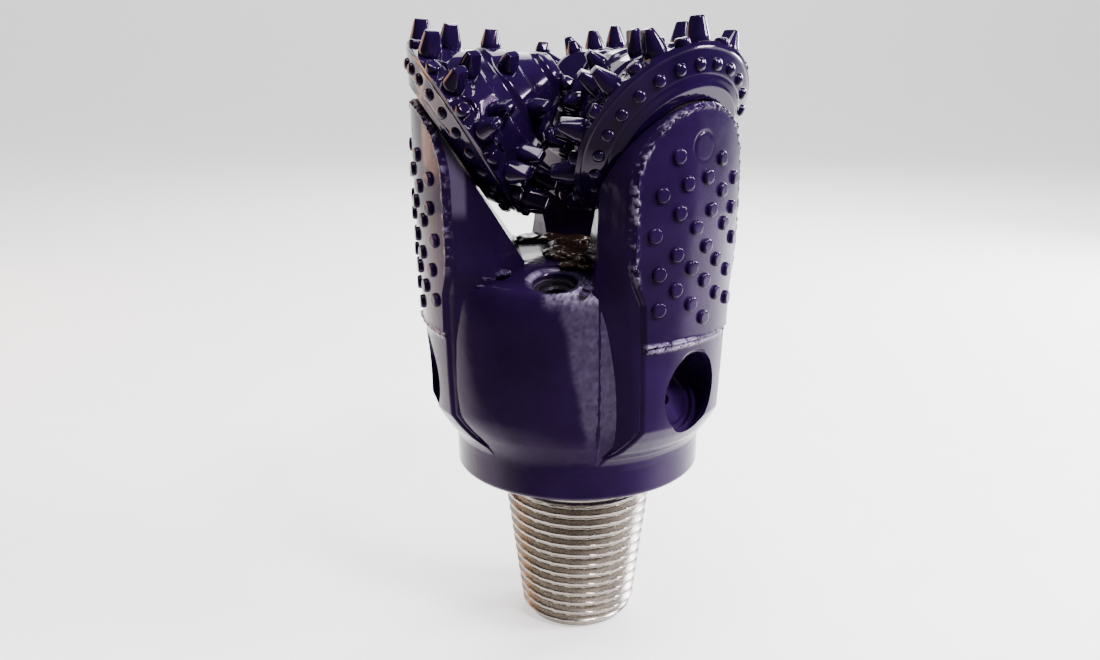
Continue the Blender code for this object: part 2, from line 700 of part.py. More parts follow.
def build_reservoir(number, parent):
    """Model the diaphragm, the cap and the snap ring of one reservoir."""
    mouth, inward = reservoir_axis()
    frame = empty(f"reservoir_frame_{number}", parent=parent)
    frame.matrix_local = between(mouth, mouth + inward)
    reach = RES_CHAMBER_DEPTH - 2.0
    outer = RES_CHAMBER_RADIUS - CLEAR
    cup = [
        (0.0, RES_FLOOR + reach - 1.4),
        (outer - 3.6, RES_FLOOR + reach - 1.6),
        (outer - 1.6, RES_FLOOR + reach - 4.0),
        (outer - 1.6, RES_FLOOR + CLEAR),
        (outer, RES_FLOOR + CLEAR),
        (outer, RES_FLOOR + reach - 3.4),
        (outer - 2.6, RES_FLOOR + reach),
        (0.0, RES_FLOOR + reach),
    ]
    tidy(mesh_object(f"diaphragm_{number}", lathe(cup, closed=False), RUBBER, frame))
    low, high = RES_FLOOR - CLEAR - CAP_THICK, RES_FLOOR - CLEAR
    rim = RES_RADIUS - CLEAR
    cap = [
        (CAP_TOP_HOLE, low + 1.2),
        (rim - 4.2, low + 1.2),
        (rim - 3.4, low),
        (rim, low),
        (rim, high),
        (CAP_TOP_HOLE, high),
    ]
    tidy(mesh_object(f"reservoir_cap_{number}", lathe(cap, 20), STEEL, frame))
    top = low - CLEAR
    ring = disc_profile(RES_RADIUS + RING_GROOVE - 0.25, top - RING_SECTION, top, RES_RADIUS - 2.0)
    snap = mesh_object(f"reservoir_ring_{number}", lathe(ring, 20), SPRING, frame)
    span = Vector((0.0, 0.0, top - RING_SECTION / 2))
    gap = box_mesh((0.0, -4.0, span.z - 4.0), (30.0, 4.0, span.z + 4.0))
    combine(snap, gap, "DIFFERENCE")
    tidy(snap)


def build_nozzle(number, parent):
    """Model one nozzle with its O-ring and retaining ring."""
    mouth, inward = nozzle_axis()
    frame = empty(f"nozzle_frame_{number}", parent=parent)
    frame.matrix_local = between(mouth + inward * POCKET_DEPTH, mouth)
    radius = POCKET_RADIUS - CLEAR
    waist = radius - 2 * NOZZLE_SEAL_SECTION + 0.2
    low = CLEAR
    body = [
        (NOZZLE_ENTRY, low),
        (radius, low),
        (radius, low + NOZZLE_STEP),
        (waist, low + NOZZLE_STEP),
        (waist, low + NOZZLE_STEP + 2 * NOZZLE_SEAL_SECTION + 0.6),
        (radius, low + NOZZLE_STEP + 2 * NOZZLE_SEAL_SECTION + 0.6),
        (radius, low + NOZZLE_LENGTH - 1.0),
        (radius - 1.0, low + NOZZLE_LENGTH),
        (NOZZLE_THROAT + 0.5, low + NOZZLE_LENGTH),
        (NOZZLE_THROAT, low + NOZZLE_LENGTH - 0.8),
        (NOZZLE_THROAT, low + NOZZLE_LENGTH * 0.62),
        (NOZZLE_ENTRY - 0.3, low + NOZZLE_LENGTH * 0.25),
    ]
    tidy(mesh_object(f"nozzle_{number}", lathe(body), CARBIDE, frame))
    centre = (waist + NOZZLE_SEAL_SECTION, low + NOZZLE_STEP + NOZZLE_SEAL_SECTION + 0.3)
    seal = ring_profile(centre, NOZZLE_SEAL_SECTION - 0.15, 5)
    tidy(mesh_object(f"nozzle_seal_{number}", lathe(seal), RUBBER, frame))
    start = low + NOZZLE_LENGTH + CLEAR
    ring = disc_profile(radius, start, start + NOZZLE_RING_SECTION, radius - 1.9)
    snap = mesh_object(f"nozzle_ring_{number}", lathe(ring), SPRING, frame)
    combine(snap, box_mesh((0.0, -3.0, start - 2.0), (20.0, 3.0, start + 4.0)), "DIFFERENCE")
    tidy(snap)


def build_pin():
    """Model the turned shank, make-up shoulder and rotary pin."""
    tip = PIN_BASE_RADIUS - (PIN_LENGTH - NECK_LENGTH) * PIN_TAPER
    profile = [
        (PIN_BORE, SHANK_TOP),
        (PIN_BORE, -PIN_LENGTH + 1.5),
        (PIN_BORE + 1.5, -PIN_LENGTH),
        (tip - 2.4, -PIN_LENGTH),
        (tip - 0.6, -PIN_LENGTH + 4.5),
        (PIN_BASE_RADIUS - 0.6, -NECK_LENGTH - 1.5),
        (PIN_BASE_RADIUS - 1.6, -NECK_LENGTH),
        (PIN_BASE_RADIUS - 1.6, -1.6),
        (PIN_BASE_RADIUS + 0.2, 0.0),
        (SHANK_RADIUS - SHOULDER_CHAMFER, 0.0),
        (SHANK_RADIUS, SHOULDER_CHAMFER),
        (SHANK_RADIUS, SHANK_TOP),
    ]
    return tidy(mesh_object("pin_shank", lathe(profile, 40), STEEL))


def main():
    """Build the whole bit."""
    clear_scene()
    build_pin()
    for number in range(1, LEG_COUNT + 1):
        turn = math.radians(FIRST_LEG + LEG_STEP * (number - 1))
        frame = empty(f"leg_frame_{number}", rotation=(0.0, 0.0, turn))
        build_leg(number, frame)
        axis = empty(f"journal_axis_{number}", parent=frame)
        axis.matrix_local = journal_frame()
        build_cone(number, axis)
        build_bearing(number, axis)
        build_plug(number, frame)
        build_reservoir(number, frame)
        build_nozzle(number, frame)


main()
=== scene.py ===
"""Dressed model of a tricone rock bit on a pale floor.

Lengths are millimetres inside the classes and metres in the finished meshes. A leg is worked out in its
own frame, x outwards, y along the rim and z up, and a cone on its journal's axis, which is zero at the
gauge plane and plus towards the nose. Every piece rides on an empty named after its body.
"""

from __future__ import annotations

import logging
import math
from dataclasses import dataclass, field
from enum import Enum

import bmesh
import bpy
import numpy as np
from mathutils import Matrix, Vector


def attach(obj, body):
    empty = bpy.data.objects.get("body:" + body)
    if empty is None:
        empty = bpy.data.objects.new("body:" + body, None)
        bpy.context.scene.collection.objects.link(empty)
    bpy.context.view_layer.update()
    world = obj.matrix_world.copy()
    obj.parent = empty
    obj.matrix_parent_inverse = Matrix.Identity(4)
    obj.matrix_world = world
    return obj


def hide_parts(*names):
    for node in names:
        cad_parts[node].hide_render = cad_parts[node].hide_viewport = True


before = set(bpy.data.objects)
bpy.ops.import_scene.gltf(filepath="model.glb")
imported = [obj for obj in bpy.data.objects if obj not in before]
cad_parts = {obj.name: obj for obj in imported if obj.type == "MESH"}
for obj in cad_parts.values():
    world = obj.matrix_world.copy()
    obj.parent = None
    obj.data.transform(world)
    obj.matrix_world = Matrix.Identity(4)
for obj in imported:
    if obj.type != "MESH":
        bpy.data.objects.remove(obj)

LOG = logging.getLogger("rock_bit")
MM = 0.001
Array = np.ndarray
Mat = bpy.types.Material
Obj = bpy.types.Object
Tree = bpy.types.NodeTree
Socket = bpy.types.NodeSocket
Tone = tuple[float, float, float]
WHITE: Tone = (1.0, 1.0, 1.0)

# Large odd numbers that stir a lattice cell and its seed into each other
HASH_X, HASH_Y, HASH_Z = 73856093, 19349663, 83492791
HASH_SEED, HASH_STIR = 2654435761, 1274126177


# Numbers on arrays


def smooth(x: Array, low: float, high: float) -> Array:
    """Rise from 0 at low to 1 at high along the cubic 3t^2 - 2t^3."""
    t = np.clip((np.asarray(x, float) - low) / (high - low), 0.0, 1.0)
    return t * t * (3.0 - 2.0 * t)


def bump(x: Array, centre: float, width: float) -> Array:
    """Return the bell exp(-((x - centre) / width)^2)."""
    return np.exp(-(((x - centre) / width) ** 2))


def lattice(cells: Array, seed: int) -> Array:
    """Hash whole-number cells into fixed values between 0 and 1.

    Args:
        cells: Whole numbers, three to a row.
        seed: Number that picks another pattern.

    Returns:
        One value for each row.
    """
    c = cells.astype(np.int64)
    mix = (c[..., 0] * HASH_X) ^ (c[..., 1] * HASH_Y) ^ (c[..., 2] * HASH_Z) ^ (seed * HASH_SEED)
    mix = (mix ^ (mix >> 13)) * HASH_STIR & 0xFFFFFFFF
    mix = (mix ^ (mix >> 16)) & 0xFFFFFF
    return mix / float(0xFFFFFF)


def noise(points: Array, size: float, seed: int = 0) -> Array:
    """Blend the eight lattice values round each point with cubic weights.

    Args:
        points: Positions in millimetres, three to a row.
        size: Side of a lattice cell.
        seed: Number that picks another pattern.

    Returns:
        Values between -1 and 1.
    """
    p = np.asarray(points, float) / size
    low = np.floor(p)
    f = p - low
    w = f * f * (3.0 - 2.0 * f)
    total = np.zeros(p.shape[:-1])
    for dx in (0, 1):
        for dy in (0, 1):
            for dz in (0, 1):
                weight = np.abs(1 - dx - w[..., 0]) * np.abs(1 - dy - w[..., 1]) * np.abs(1 - dz - w[..., 2])
                total += weight * lattice(low + np.array([dx, dy, dz]), seed)
    return total * 2.0 - 1.0


def rough(points: Array, size: float, seed: int = 0, octaves: int = 3) -> Array:
    """Add octaves of noise, each half as large and half as strong.

    Args:
        points: Positions in millimetres, three to a row.
        size: Side of the first octave's cells.
        seed: Number that picks another pattern.
        octaves: How many are added.

    Returns:
        One value for each row, spread about 0.
    """
    total = np.zeros(np.asarray(points).shape[:-1])
    for k in range(octaves):
        total += noise(points, size / 2**k, seed + k) / 2**k
    return total


def resample(path: Array, step: float) -> Array:
    """Walk a polyline at even steps of arc length.

    Args:
        path: Points of the line, two or three numbers to a row.
        step: Distance between the new points.

    Returns:
        The new points, both ends included.
    """
    length = np.concatenate([[0.0], np.cumsum(np.linalg.norm(np.diff(path, axis=0), axis=1))])
    count = max(2, int(round(length[-1] / step)) + 1)
    at = np.linspace(0.0, length[-1], count)
    return np.stack([np.interp(at, length, path[:, k]) for k in range(path.shape[1])], axis=1)


def soften(path: Array, turns: int) -> Array:
    """Cut the corners of an open polyline by quarters, keeping its two ends.

    Args:
        path: Points of the line.
        turns: How many times every corner is cut.

    Returns:
        The softer line.
    """
    for _ in range(turns):
        low = path[:-1] * 0.75 + path[1:] * 0.25
        high = path[:-1] * 0.25 + path[1:] * 0.75
        inner = np.stack([low, high], axis=1).reshape(-1, path.shape[1])
        path = np.concatenate([path[:1], inner, path[-1:]])
    return path


# Meshes


# Angle in degrees past which an edge is drawn sharp, where a piece doesn't give its own
SHARP = 40.0


@dataclass
class Shell:
    """A surface in millimetres: its points, its quads and triangles, and one number per point of scuffed
    paint and painted glint.
    """

    points: Array
    quads: Array
    tris: Array = field(default_factory=lambda: np.zeros((0, 3), np.int64))
    wear_and_glint: Array | None = None

    def __add__(self, other: Shell) -> Shell:
        """Join two shells into one.

        Args:
            other: The shell that is added.

        Returns:
            Both, with zeros where one of them has none.
        """
        n = len(self.points)
        own = np.zeros(n) if self.wear_and_glint is None else self.wear_and_glint
        its = np.zeros(len(other.points)) if other.wear_and_glint is None else other.wear_and_glint
        return Shell(
            np.concatenate([self.points, other.points]),
            np.concatenate([self.quads, other.quads + n]),
            np.concatenate([self.tris, other.tris + n]),
            np.concatenate([own, its]),
        )

    def moved(self, matrix: Array) -> Shell:
        """Return the shell moved by a 4 by 4 matrix in millimetres."""
        return Shell(self.points @ matrix[:3, :3].T + matrix[:3, 3], self.quads, self.tris, self.wear_and_glint)

    def many(self, matrices: Array) -> Shell:
        """Repeat the shell once for each matrix, as whole arrays.

        Args:
            matrices: 4 by 4 matrices in millimetres, one for each copy.

        Returns:
            All copies as one shell.
        """
        n, k = len(self.points), len(matrices)
        points = np.einsum("kij,nj->kni", matrices[:, :3, :3], self.points) + matrices[:, None, :3, 3]
        step = (np.arange(k) * n)[:, None, None]
        wear_and_glint = None if self.wear_and_glint is None else np.tile(self.wear_and_glint, k)
        return Shell(
            points.reshape(-1, 3), (self.quads + step).reshape(-1, 4), (self.tris + step).reshape(-1, 3), wear_and_glint
        )

    def build(self, name: str, material: Mat, angle: float = SHARP, outward: bool = True) -> Obj:
        """Put the shell into a mesh object.

        Args:
            name: Name of the piece.
            material: Finish of its first slot.
            angle: Angle in degrees past which an edge is drawn sharp.
            outward: Whether to turn every closed shell's faces outwards.

        Returns:
            The object, linked to the scene.
        """
        mesh = bpy.data.meshes.new(name)
        quads, tris = self.quads.reshape(-1), self.tris.reshape(-1)
        mesh.vertices.add(len(self.points))
        mesh.vertices.foreach_set("co", (self.points * MM).astype(np.float32).reshape(-1))
        mesh.loops.add(len(quads) + len(tris))
        mesh.loops.foreach_set("vertex_index", np.concatenate([quads, tris]).astype(np.int32))
        starts = np.concatenate([np.arange(len(self.quads)) * 4, len(quads) + np.arange(len(self.tris)) * 3])
        mesh.polygons.add(len(starts))
        mesh.polygons.foreach_set("loop_start", starts.astype(np.int32))
        mesh.update(calc_edges=True)
        if self.wear_and_glint is not None:
            layer = mesh.attributes.new("wear_and_glint", "FLOAT", "POINT")
            layer.data.foreach_set("value", self.wear_and_glint.astype(np.float32))
        if outward:
            bm = bmesh.new()
            bm.from_mesh(mesh)
            bmesh.ops.recalc_face_normals(bm, faces=bm.faces)
            bm.to_mesh(mesh)
            bm.free()
        mesh.shade_smooth()
        mesh.set_sharp_from_angle(angle=math.radians(angle))
        mesh.materials.append(material)
        obj = bpy.data.objects.new(name, mesh)
        bpy.context.scene.collection.objects.link(obj)
        return obj


def join(shells: list[Shell]) -> Shell:
    """Join shells in their order."""
    whole = shells[0]
    for shell in shells[1:]:
        whole = whole + shell
    return whole


def grid(points: Array, wrap_u: bool = False, wrap_v: bool = False, caps: bool = False) -> Shell:
    """Join a grid of points, rows u by columns v, into quads.

    Args:
        points: Array of shape (u, v, 3).
        wrap_u: Whether the last row meets the first.
        wrap_v: Whether the last column meets the first.
        caps: Whether the first and last rows are closed with fans about their middles.

    Returns:
        The shell.
    """
    nu, nv = points.shape[:2]
    u = np.arange(nu if wrap_u else nu - 1)
    v = np.arange(nv if wrap_v else nv - 1)
    a, b = np.meshgrid(u, v, indexing="ij")
    a2, b2 = (a + 1) % nu, (b + 1) % nv
    quads = np.stack([a * nv + b, a2 * nv + b, a2 * nv + b2, a * nv + b2], axis=-1).reshape(-1, 4)
    flat = points.reshape(-1, 3)
    tris = np.zeros((0, 3), np.int64)
    if caps:
        flat = np.concatenate([flat, points[0].mean(0)[None], points[-1].mean(0)[None]])
        low = np.stack([np.full(len(v), nu * nv), (v + 1) % nv, v], axis=1)
        base = (nu - 1) * nv
        high = np.stack([np.full(len(v), nu * nv + 1), base + v, base + (v + 1) % nv], axis=1)
        tris = np.concatenate([low, high])
    return Shell(flat, quads, tris)


def rings(profile: Array, angles: Array) -> Array:
    """Turn (radius, height) rows about the z axis: x = r cos a, y = r sin a.

    Args:
        profile: The rows.
        angles: Angles of the columns in radians.

    Returns:
        Points of shape (rows, columns, 3).
    """
    r, z = profile[:, 0][:, None], profile[:, 1][:, None]
    heights = np.broadcast_to(z, (len(profile), len(angles)))
    return np.stack([r * np.cos(angles), r * np.sin(angles), heights], axis=-1)


def lathe(profile: Array, steps: int, closed: bool = False) -> Shell:
    """Turn a profile of (radius, height) rows into a shell.

    Args:
        profile: The rows, from one end to the other.
        steps: Number of columns round the axis.
        closed: Whether the profile's end meets its start.

    Returns:
        The shell, with a small fan where an end stands near the axis.
    """
    a = np.arange(steps) * math.tau / steps
    return grid(rings(profile, a), wrap_u=closed, wrap_v=True, caps=not closed)


def turn_z(degrees: float) -> Array:
    """Return the 4 by 4 turn about z."""
    a = math.radians(degrees)
    m = np.eye(4)
    m[:2, :2] = [[math.cos(a), -math.sin(a)], [math.sin(a), math.cos(a)]]
    return m


def stand(origin: Array, normal: Array, along: Array) -> Array:
    """Return matrices that carry z to the normal and x as near as may be to a given line.

    Args:
        origin: Places, three numbers to a row.
        normal: Unit directions of the new z.
        along: Directions whose part across the normal becomes x.

    Returns:
        One 4 by 4 matrix for each row.
    """
    x = along - (along * normal).sum(-1, keepdims=True) * normal
    x = x / np.linalg.norm(x, axis=-1, keepdims=True)
    m = np.zeros((len(origin), 4, 4))
    m[:, :3, 0], m[:, :3, 1], m[:, :3, 2], m[:, :3, 3] = x, np.cross(normal, x), normal, origin
    m[:, 3, 3] = 1.0
    return m


def cut(obj: Obj, tool: Obj) -> Obj:
    """Take one closed object out of another with an exact Boolean and drop the tool.

    Args:
        obj: The object that is cut.
        tool: The object that is taken out of it.

    Returns:
        The cut object.
    """
    mod = obj.modifiers.new("cut", "BOOLEAN")
    mod.operation, mod.solver, mod.object = "DIFFERENCE", "EXACT", tool
    graph = bpy.context.evaluated_depsgraph_get()
    mesh = bpy.data.meshes.new_from_object(obj.evaluated_get(graph))
    old = obj.data
    obj.modifiers.clear()
    obj.data = mesh
    bpy.data.meshes.remove(old)
    bpy.data.objects.remove(tool, do_unlink=True)
    return obj


# Finishes


class Look(Enum):
    """The finishes that the bit shows."""

    LACQUER = "violet_lacquer"
    CUTTER = "cutter_lacquer"
    TURNED = "turned_steel"
    BRONZE = "bearing_bronze"
    RUBBER = "seal_rubber"
    CARBIDE = "nozzle_carbide"
    SPRING = "spring_steel"
    SLAG = "weld_slag"
    FLOOR = "pale_floor"


TONE_SIZE, TONE_DETAIL, GRAIN_DETAIL = 38.0, 4.0, 5.0
LEAST_ROUGHNESS = 0.02
RELIEF_HEIGHT = 0.0004


def noise_node(tree: Tree, spot: Socket, size: float, detail: float) -> Socket:
    """Add a noise texture.

    Args:
        tree: The material's nodes.
        spot: The coordinates that it reads.
        size: Its scale.
        detail: Its detail.

    Returns:
        The noise.
    """
    node = tree.nodes.new("ShaderNodeTexNoise")
    node.inputs["Scale"].default_value = size
    node.inputs["Detail"].default_value = detail
    tree.links.new(spot, node.inputs["Vector"])
    return node.outputs["Fac"]


def range_node(tree: Tree, source: Socket, limits: tuple[float, float, float, float]) -> Socket:
    """Map a value from one span to another.

    Args:
        tree: The material's nodes.
        source: The value.
        limits: The two ends that it has, then the two that it gets.

    Returns:
        The mapped value.
    """
    node = tree.nodes.new("ShaderNodeMapRange")
    for name, value in zip(("From Min", "From Max", "To Min", "To Max"), limits):
        node.inputs[name].default_value = value
    tree.links.new(source, node.inputs["Value"])
    return node.outputs["Result"]


def mix_node(tree: Tree, share: Socket, low: Tone | Socket, high: Tone) -> Socket:
    """Mix two colours.

    Args:
        tree: The material's nodes.
        share: How much of the second there is.
        low: The first colour, or the output that gives it.
        high: The second colour.

    Returns:
        The mixed colour.
    """
    node = tree.nodes.new("ShaderNodeMix")
    node.data_type = "RGBA"
    node.inputs["B"].default_value = (*high, 1.0)
    if isinstance(low, tuple):
        node.inputs["A"].default_value = (*low, 1.0)
    else:
        tree.links.new(low, node.inputs["A"])
    tree.links.new(share, node.inputs["Factor"])
    return node.outputs["Result"]


@dataclass(frozen=True)
class Finish:
    """A procedural finish: base tones, gloss, clear coat and the grain of its bump."""

    look: Look
    low: Tone
    high: Tone
    roughness: float
    metallic: float = 0.0
    spread: float = 0.08
    coat: float = 0.0
    coat_roughness: float = 0.05
    grain: float = 900.0
    bump: float = 0.15
    lay: Tone = (1.0, 1.0, 1.0)
    # Light tone mixed in per point: scuffed paint, and painted glints, highlights painted into the colour of
    # beads and welds.
    worn_and_glint: Tone | None = None
    sheen: float = 0.3
    tint: Tone = WHITE

    def make(self) -> Mat:
        """Build the node tree and return the material."""
        mat = bpy.data.materials.new(self.look.value)
        mat.use_nodes = True
        tree = mat.node_tree
        shader = tree.nodes["Principled BSDF"]
        shader.inputs["Metallic"].default_value = self.metallic
        shader.inputs["Coat Weight"].default_value = self.coat
        shader.inputs["Coat Roughness"].default_value = self.coat_roughness
        shader.inputs["Specular IOR Level"].default_value = self.sheen
        shader.inputs["Specular Tint"].default_value = (*self.tint, 1.0)
        place = tree.nodes.new("ShaderNodeTexCoord")
        scale = tree.nodes.new("ShaderNodeMapping")
        scale.inputs["Scale"].default_value = self.lay
        tree.links.new(place.outputs["Object"], scale.inputs["Vector"])
        spot = scale.outputs["Vector"]
        tone = range_node(tree, noise_node(tree, spot, TONE_SIZE, TONE_DETAIL), (0.3, 0.7, 0.0, 1.0))
        colour = mix_node(tree, tone, self.low, self.high)
        # Mix in the light tone per point, for scuffed paint and for painted glints.
        if self.worn_and_glint is not None:
            mark = tree.nodes.new("ShaderNodeAttribute")
            mark.attribute_name = "wear_and_glint"
            colour = mix_node(tree, mark.outputs["Fac"], colour, self.worn_and_glint)
        tree.links.new(colour, shader.inputs["Base Color"])
        fine = noise_node(tree, spot, self.grain, GRAIN_DETAIL)
        low = max(LEAST_ROUGHNESS, self.roughness - self.spread)
        gloss = range_node(tree, fine, (0.25, 0.75, low, self.roughness + self.spread))
        tree.links.new(gloss, shader.inputs["Roughness"])
        relief = tree.nodes.new("ShaderNodeBump")
        relief.inputs["Strength"].default_value = self.bump
        relief.inputs["Distance"].default_value = RELIEF_HEIGHT
        tree.links.new(fine, relief.inputs["Height"])
        tree.links.new(relief.outputs["Normal"], shader.inputs["Normal"])
        mat.diffuse_color = (*self.high, 1.0)
        return mat


VIOLET: Tone = (0.92, 0.60, 1.0)
FINISHES = (
    Finish(Look.LACQUER, (0.0085, 0.0028, 0.022), (0.0160, 0.0052, 0.041), 0.18, spread=0.06, coat=0.11,
           grain=260.0, bump=0.12, worn_and_glint=(0.36, 0.31, 0.46), sheen=0.10, tint=VIOLET),
    Finish(Look.CUTTER, (0.0054, 0.0014, 0.017), (0.0100, 0.0026, 0.031), 0.14, spread=0.05, coat=0.34,
           grain=340.0, bump=0.08, worn_and_glint=(0.05, 0.03, 0.11), sheen=0.12, tint=VIOLET),
    Finish(Look.TURNED, (0.25, 0.225, 0.19), (0.33, 0.305, 0.27), 0.27, metallic=1.0, spread=0.03,
           grain=500.0, bump=0.02, lay=(1.0, 1.0, 16.0)),
    Finish(Look.BRONZE, (0.50, 0.32, 0.12), (0.62, 0.42, 0.18), 0.34, metallic=1.0, grain=1100.0),
    Finish(Look.RUBBER, (0.016, 0.016, 0.018), (0.028, 0.028, 0.031), 0.62, spread=0.10, grain=1400.0,
           bump=0.3),
    Finish(Look.CARBIDE, (0.07, 0.06, 0.08), (0.12, 0.10, 0.13), 0.38, metallic=1.0, spread=0.10,
           grain=1300.0, bump=0.2),
    Finish(Look.SPRING, (0.12, 0.10, 0.14), (0.18, 0.15, 0.20), 0.34, metallic=1.0, bump=0.12),
    Finish(Look.SLAG, (0.014, 0.007, 0.005), (0.040, 0.021, 0.014), 0.20, coat=0.25, coat_roughness=0.08,
           grain=500.0, bump=0.2, sheen=0.25, tint=(1.0, 0.75, 0.6)),
    Finish(Look.FLOOR, (0.88, 0.88, 0.88), (0.92, 0.92, 0.92), 0.6, spread=0.05, grain=60.0, bump=0.03),
)


@dataclass
class Palette:
    """The materials by their look."""

    made: dict[Look, Mat] = field(default_factory=dict)

    def __post_init__(self) -> None:
        """Make every finish once."""
        for finish in FINISHES:
            self.made[finish.look] = finish.make()

    def __getitem__(self, look: Look) -> Mat:
        """Return the material of a look."""
        return self.made[look]


# The bit


ROOT = "bit_body"
LEG_AZIMUTH = {1: -30.0, 2: 90.0, 3: 210.0}
TILT = math.radians(33.0)
SKEW = -5.0
CENTRE_R, CENTRE_Z = 46.9027, 145.7864


def journal_matrix() -> Array:
    """Return the matrix from the journal's frame to the leg's, x along the cone's upper radius."""
    m = np.eye(4)
    m[:3, 2] = [-math.cos(TILT), 0.0, math.sin(TILT)]
    m[:3, 0] = [math.sin(TILT), 0.0, math.cos(TILT)]
    m[:3, 1] = np.cross(m[:3, 2], m[:3, 0])
    m = turn_z(SKEW) @ m
    m[:3, 3] = [CENTRE_R, 0.0, CENTRE_Z]
    return m


# Rows and columns of the leg's surfaces
LOW_ROWS, ARCH_ROWS = 200, 74
FACE_COLUMNS, FLANK_COLUMNS, INNER_COLUMNS = 190, 56, 24
BODY_COLUMNS = 190

# Angles in degrees past which an edge of a cut leg, and of a lump, is drawn sharp
LEG_SHARP, LUMP_SHARP = 38.0, 60.0

# Distance from the axis, azimuth, height and size of the weld lumps and of the crotch's slag
WELD_LUMPS = np.array([
    (57.2, 33.0, 89.8, 2.0), (55.4, 35.2, 90.8, 2.4), (53.0, 37.4, 91.8, 2.2), (50.2, 39.5, 92.6, 2.4),
    (58.2, 34.6, 88.0, 1.5), (57.4, 77.5, 87.9, 1.6), (54.6, 79.5, 89.4, 2.0), (50.5, 81.0, 90.6, 1.9)])
CROTCH_SLAG = np.array([
    (31.0, 80.5, 95.9, 4.6), (24.0, 74.0, 96.6, 5.6), (15.0, 66.0, 97.0, 5.4), (25.0, 60.0, 96.0, 4.4),
    (34.0, 71.0, 94.6, 4.0), (8.0, 20.0, 97.4, 5.0), (20.0, 48.0, 96.4, 4.8), (37.0, 81.5, 94.6, 3.4)])


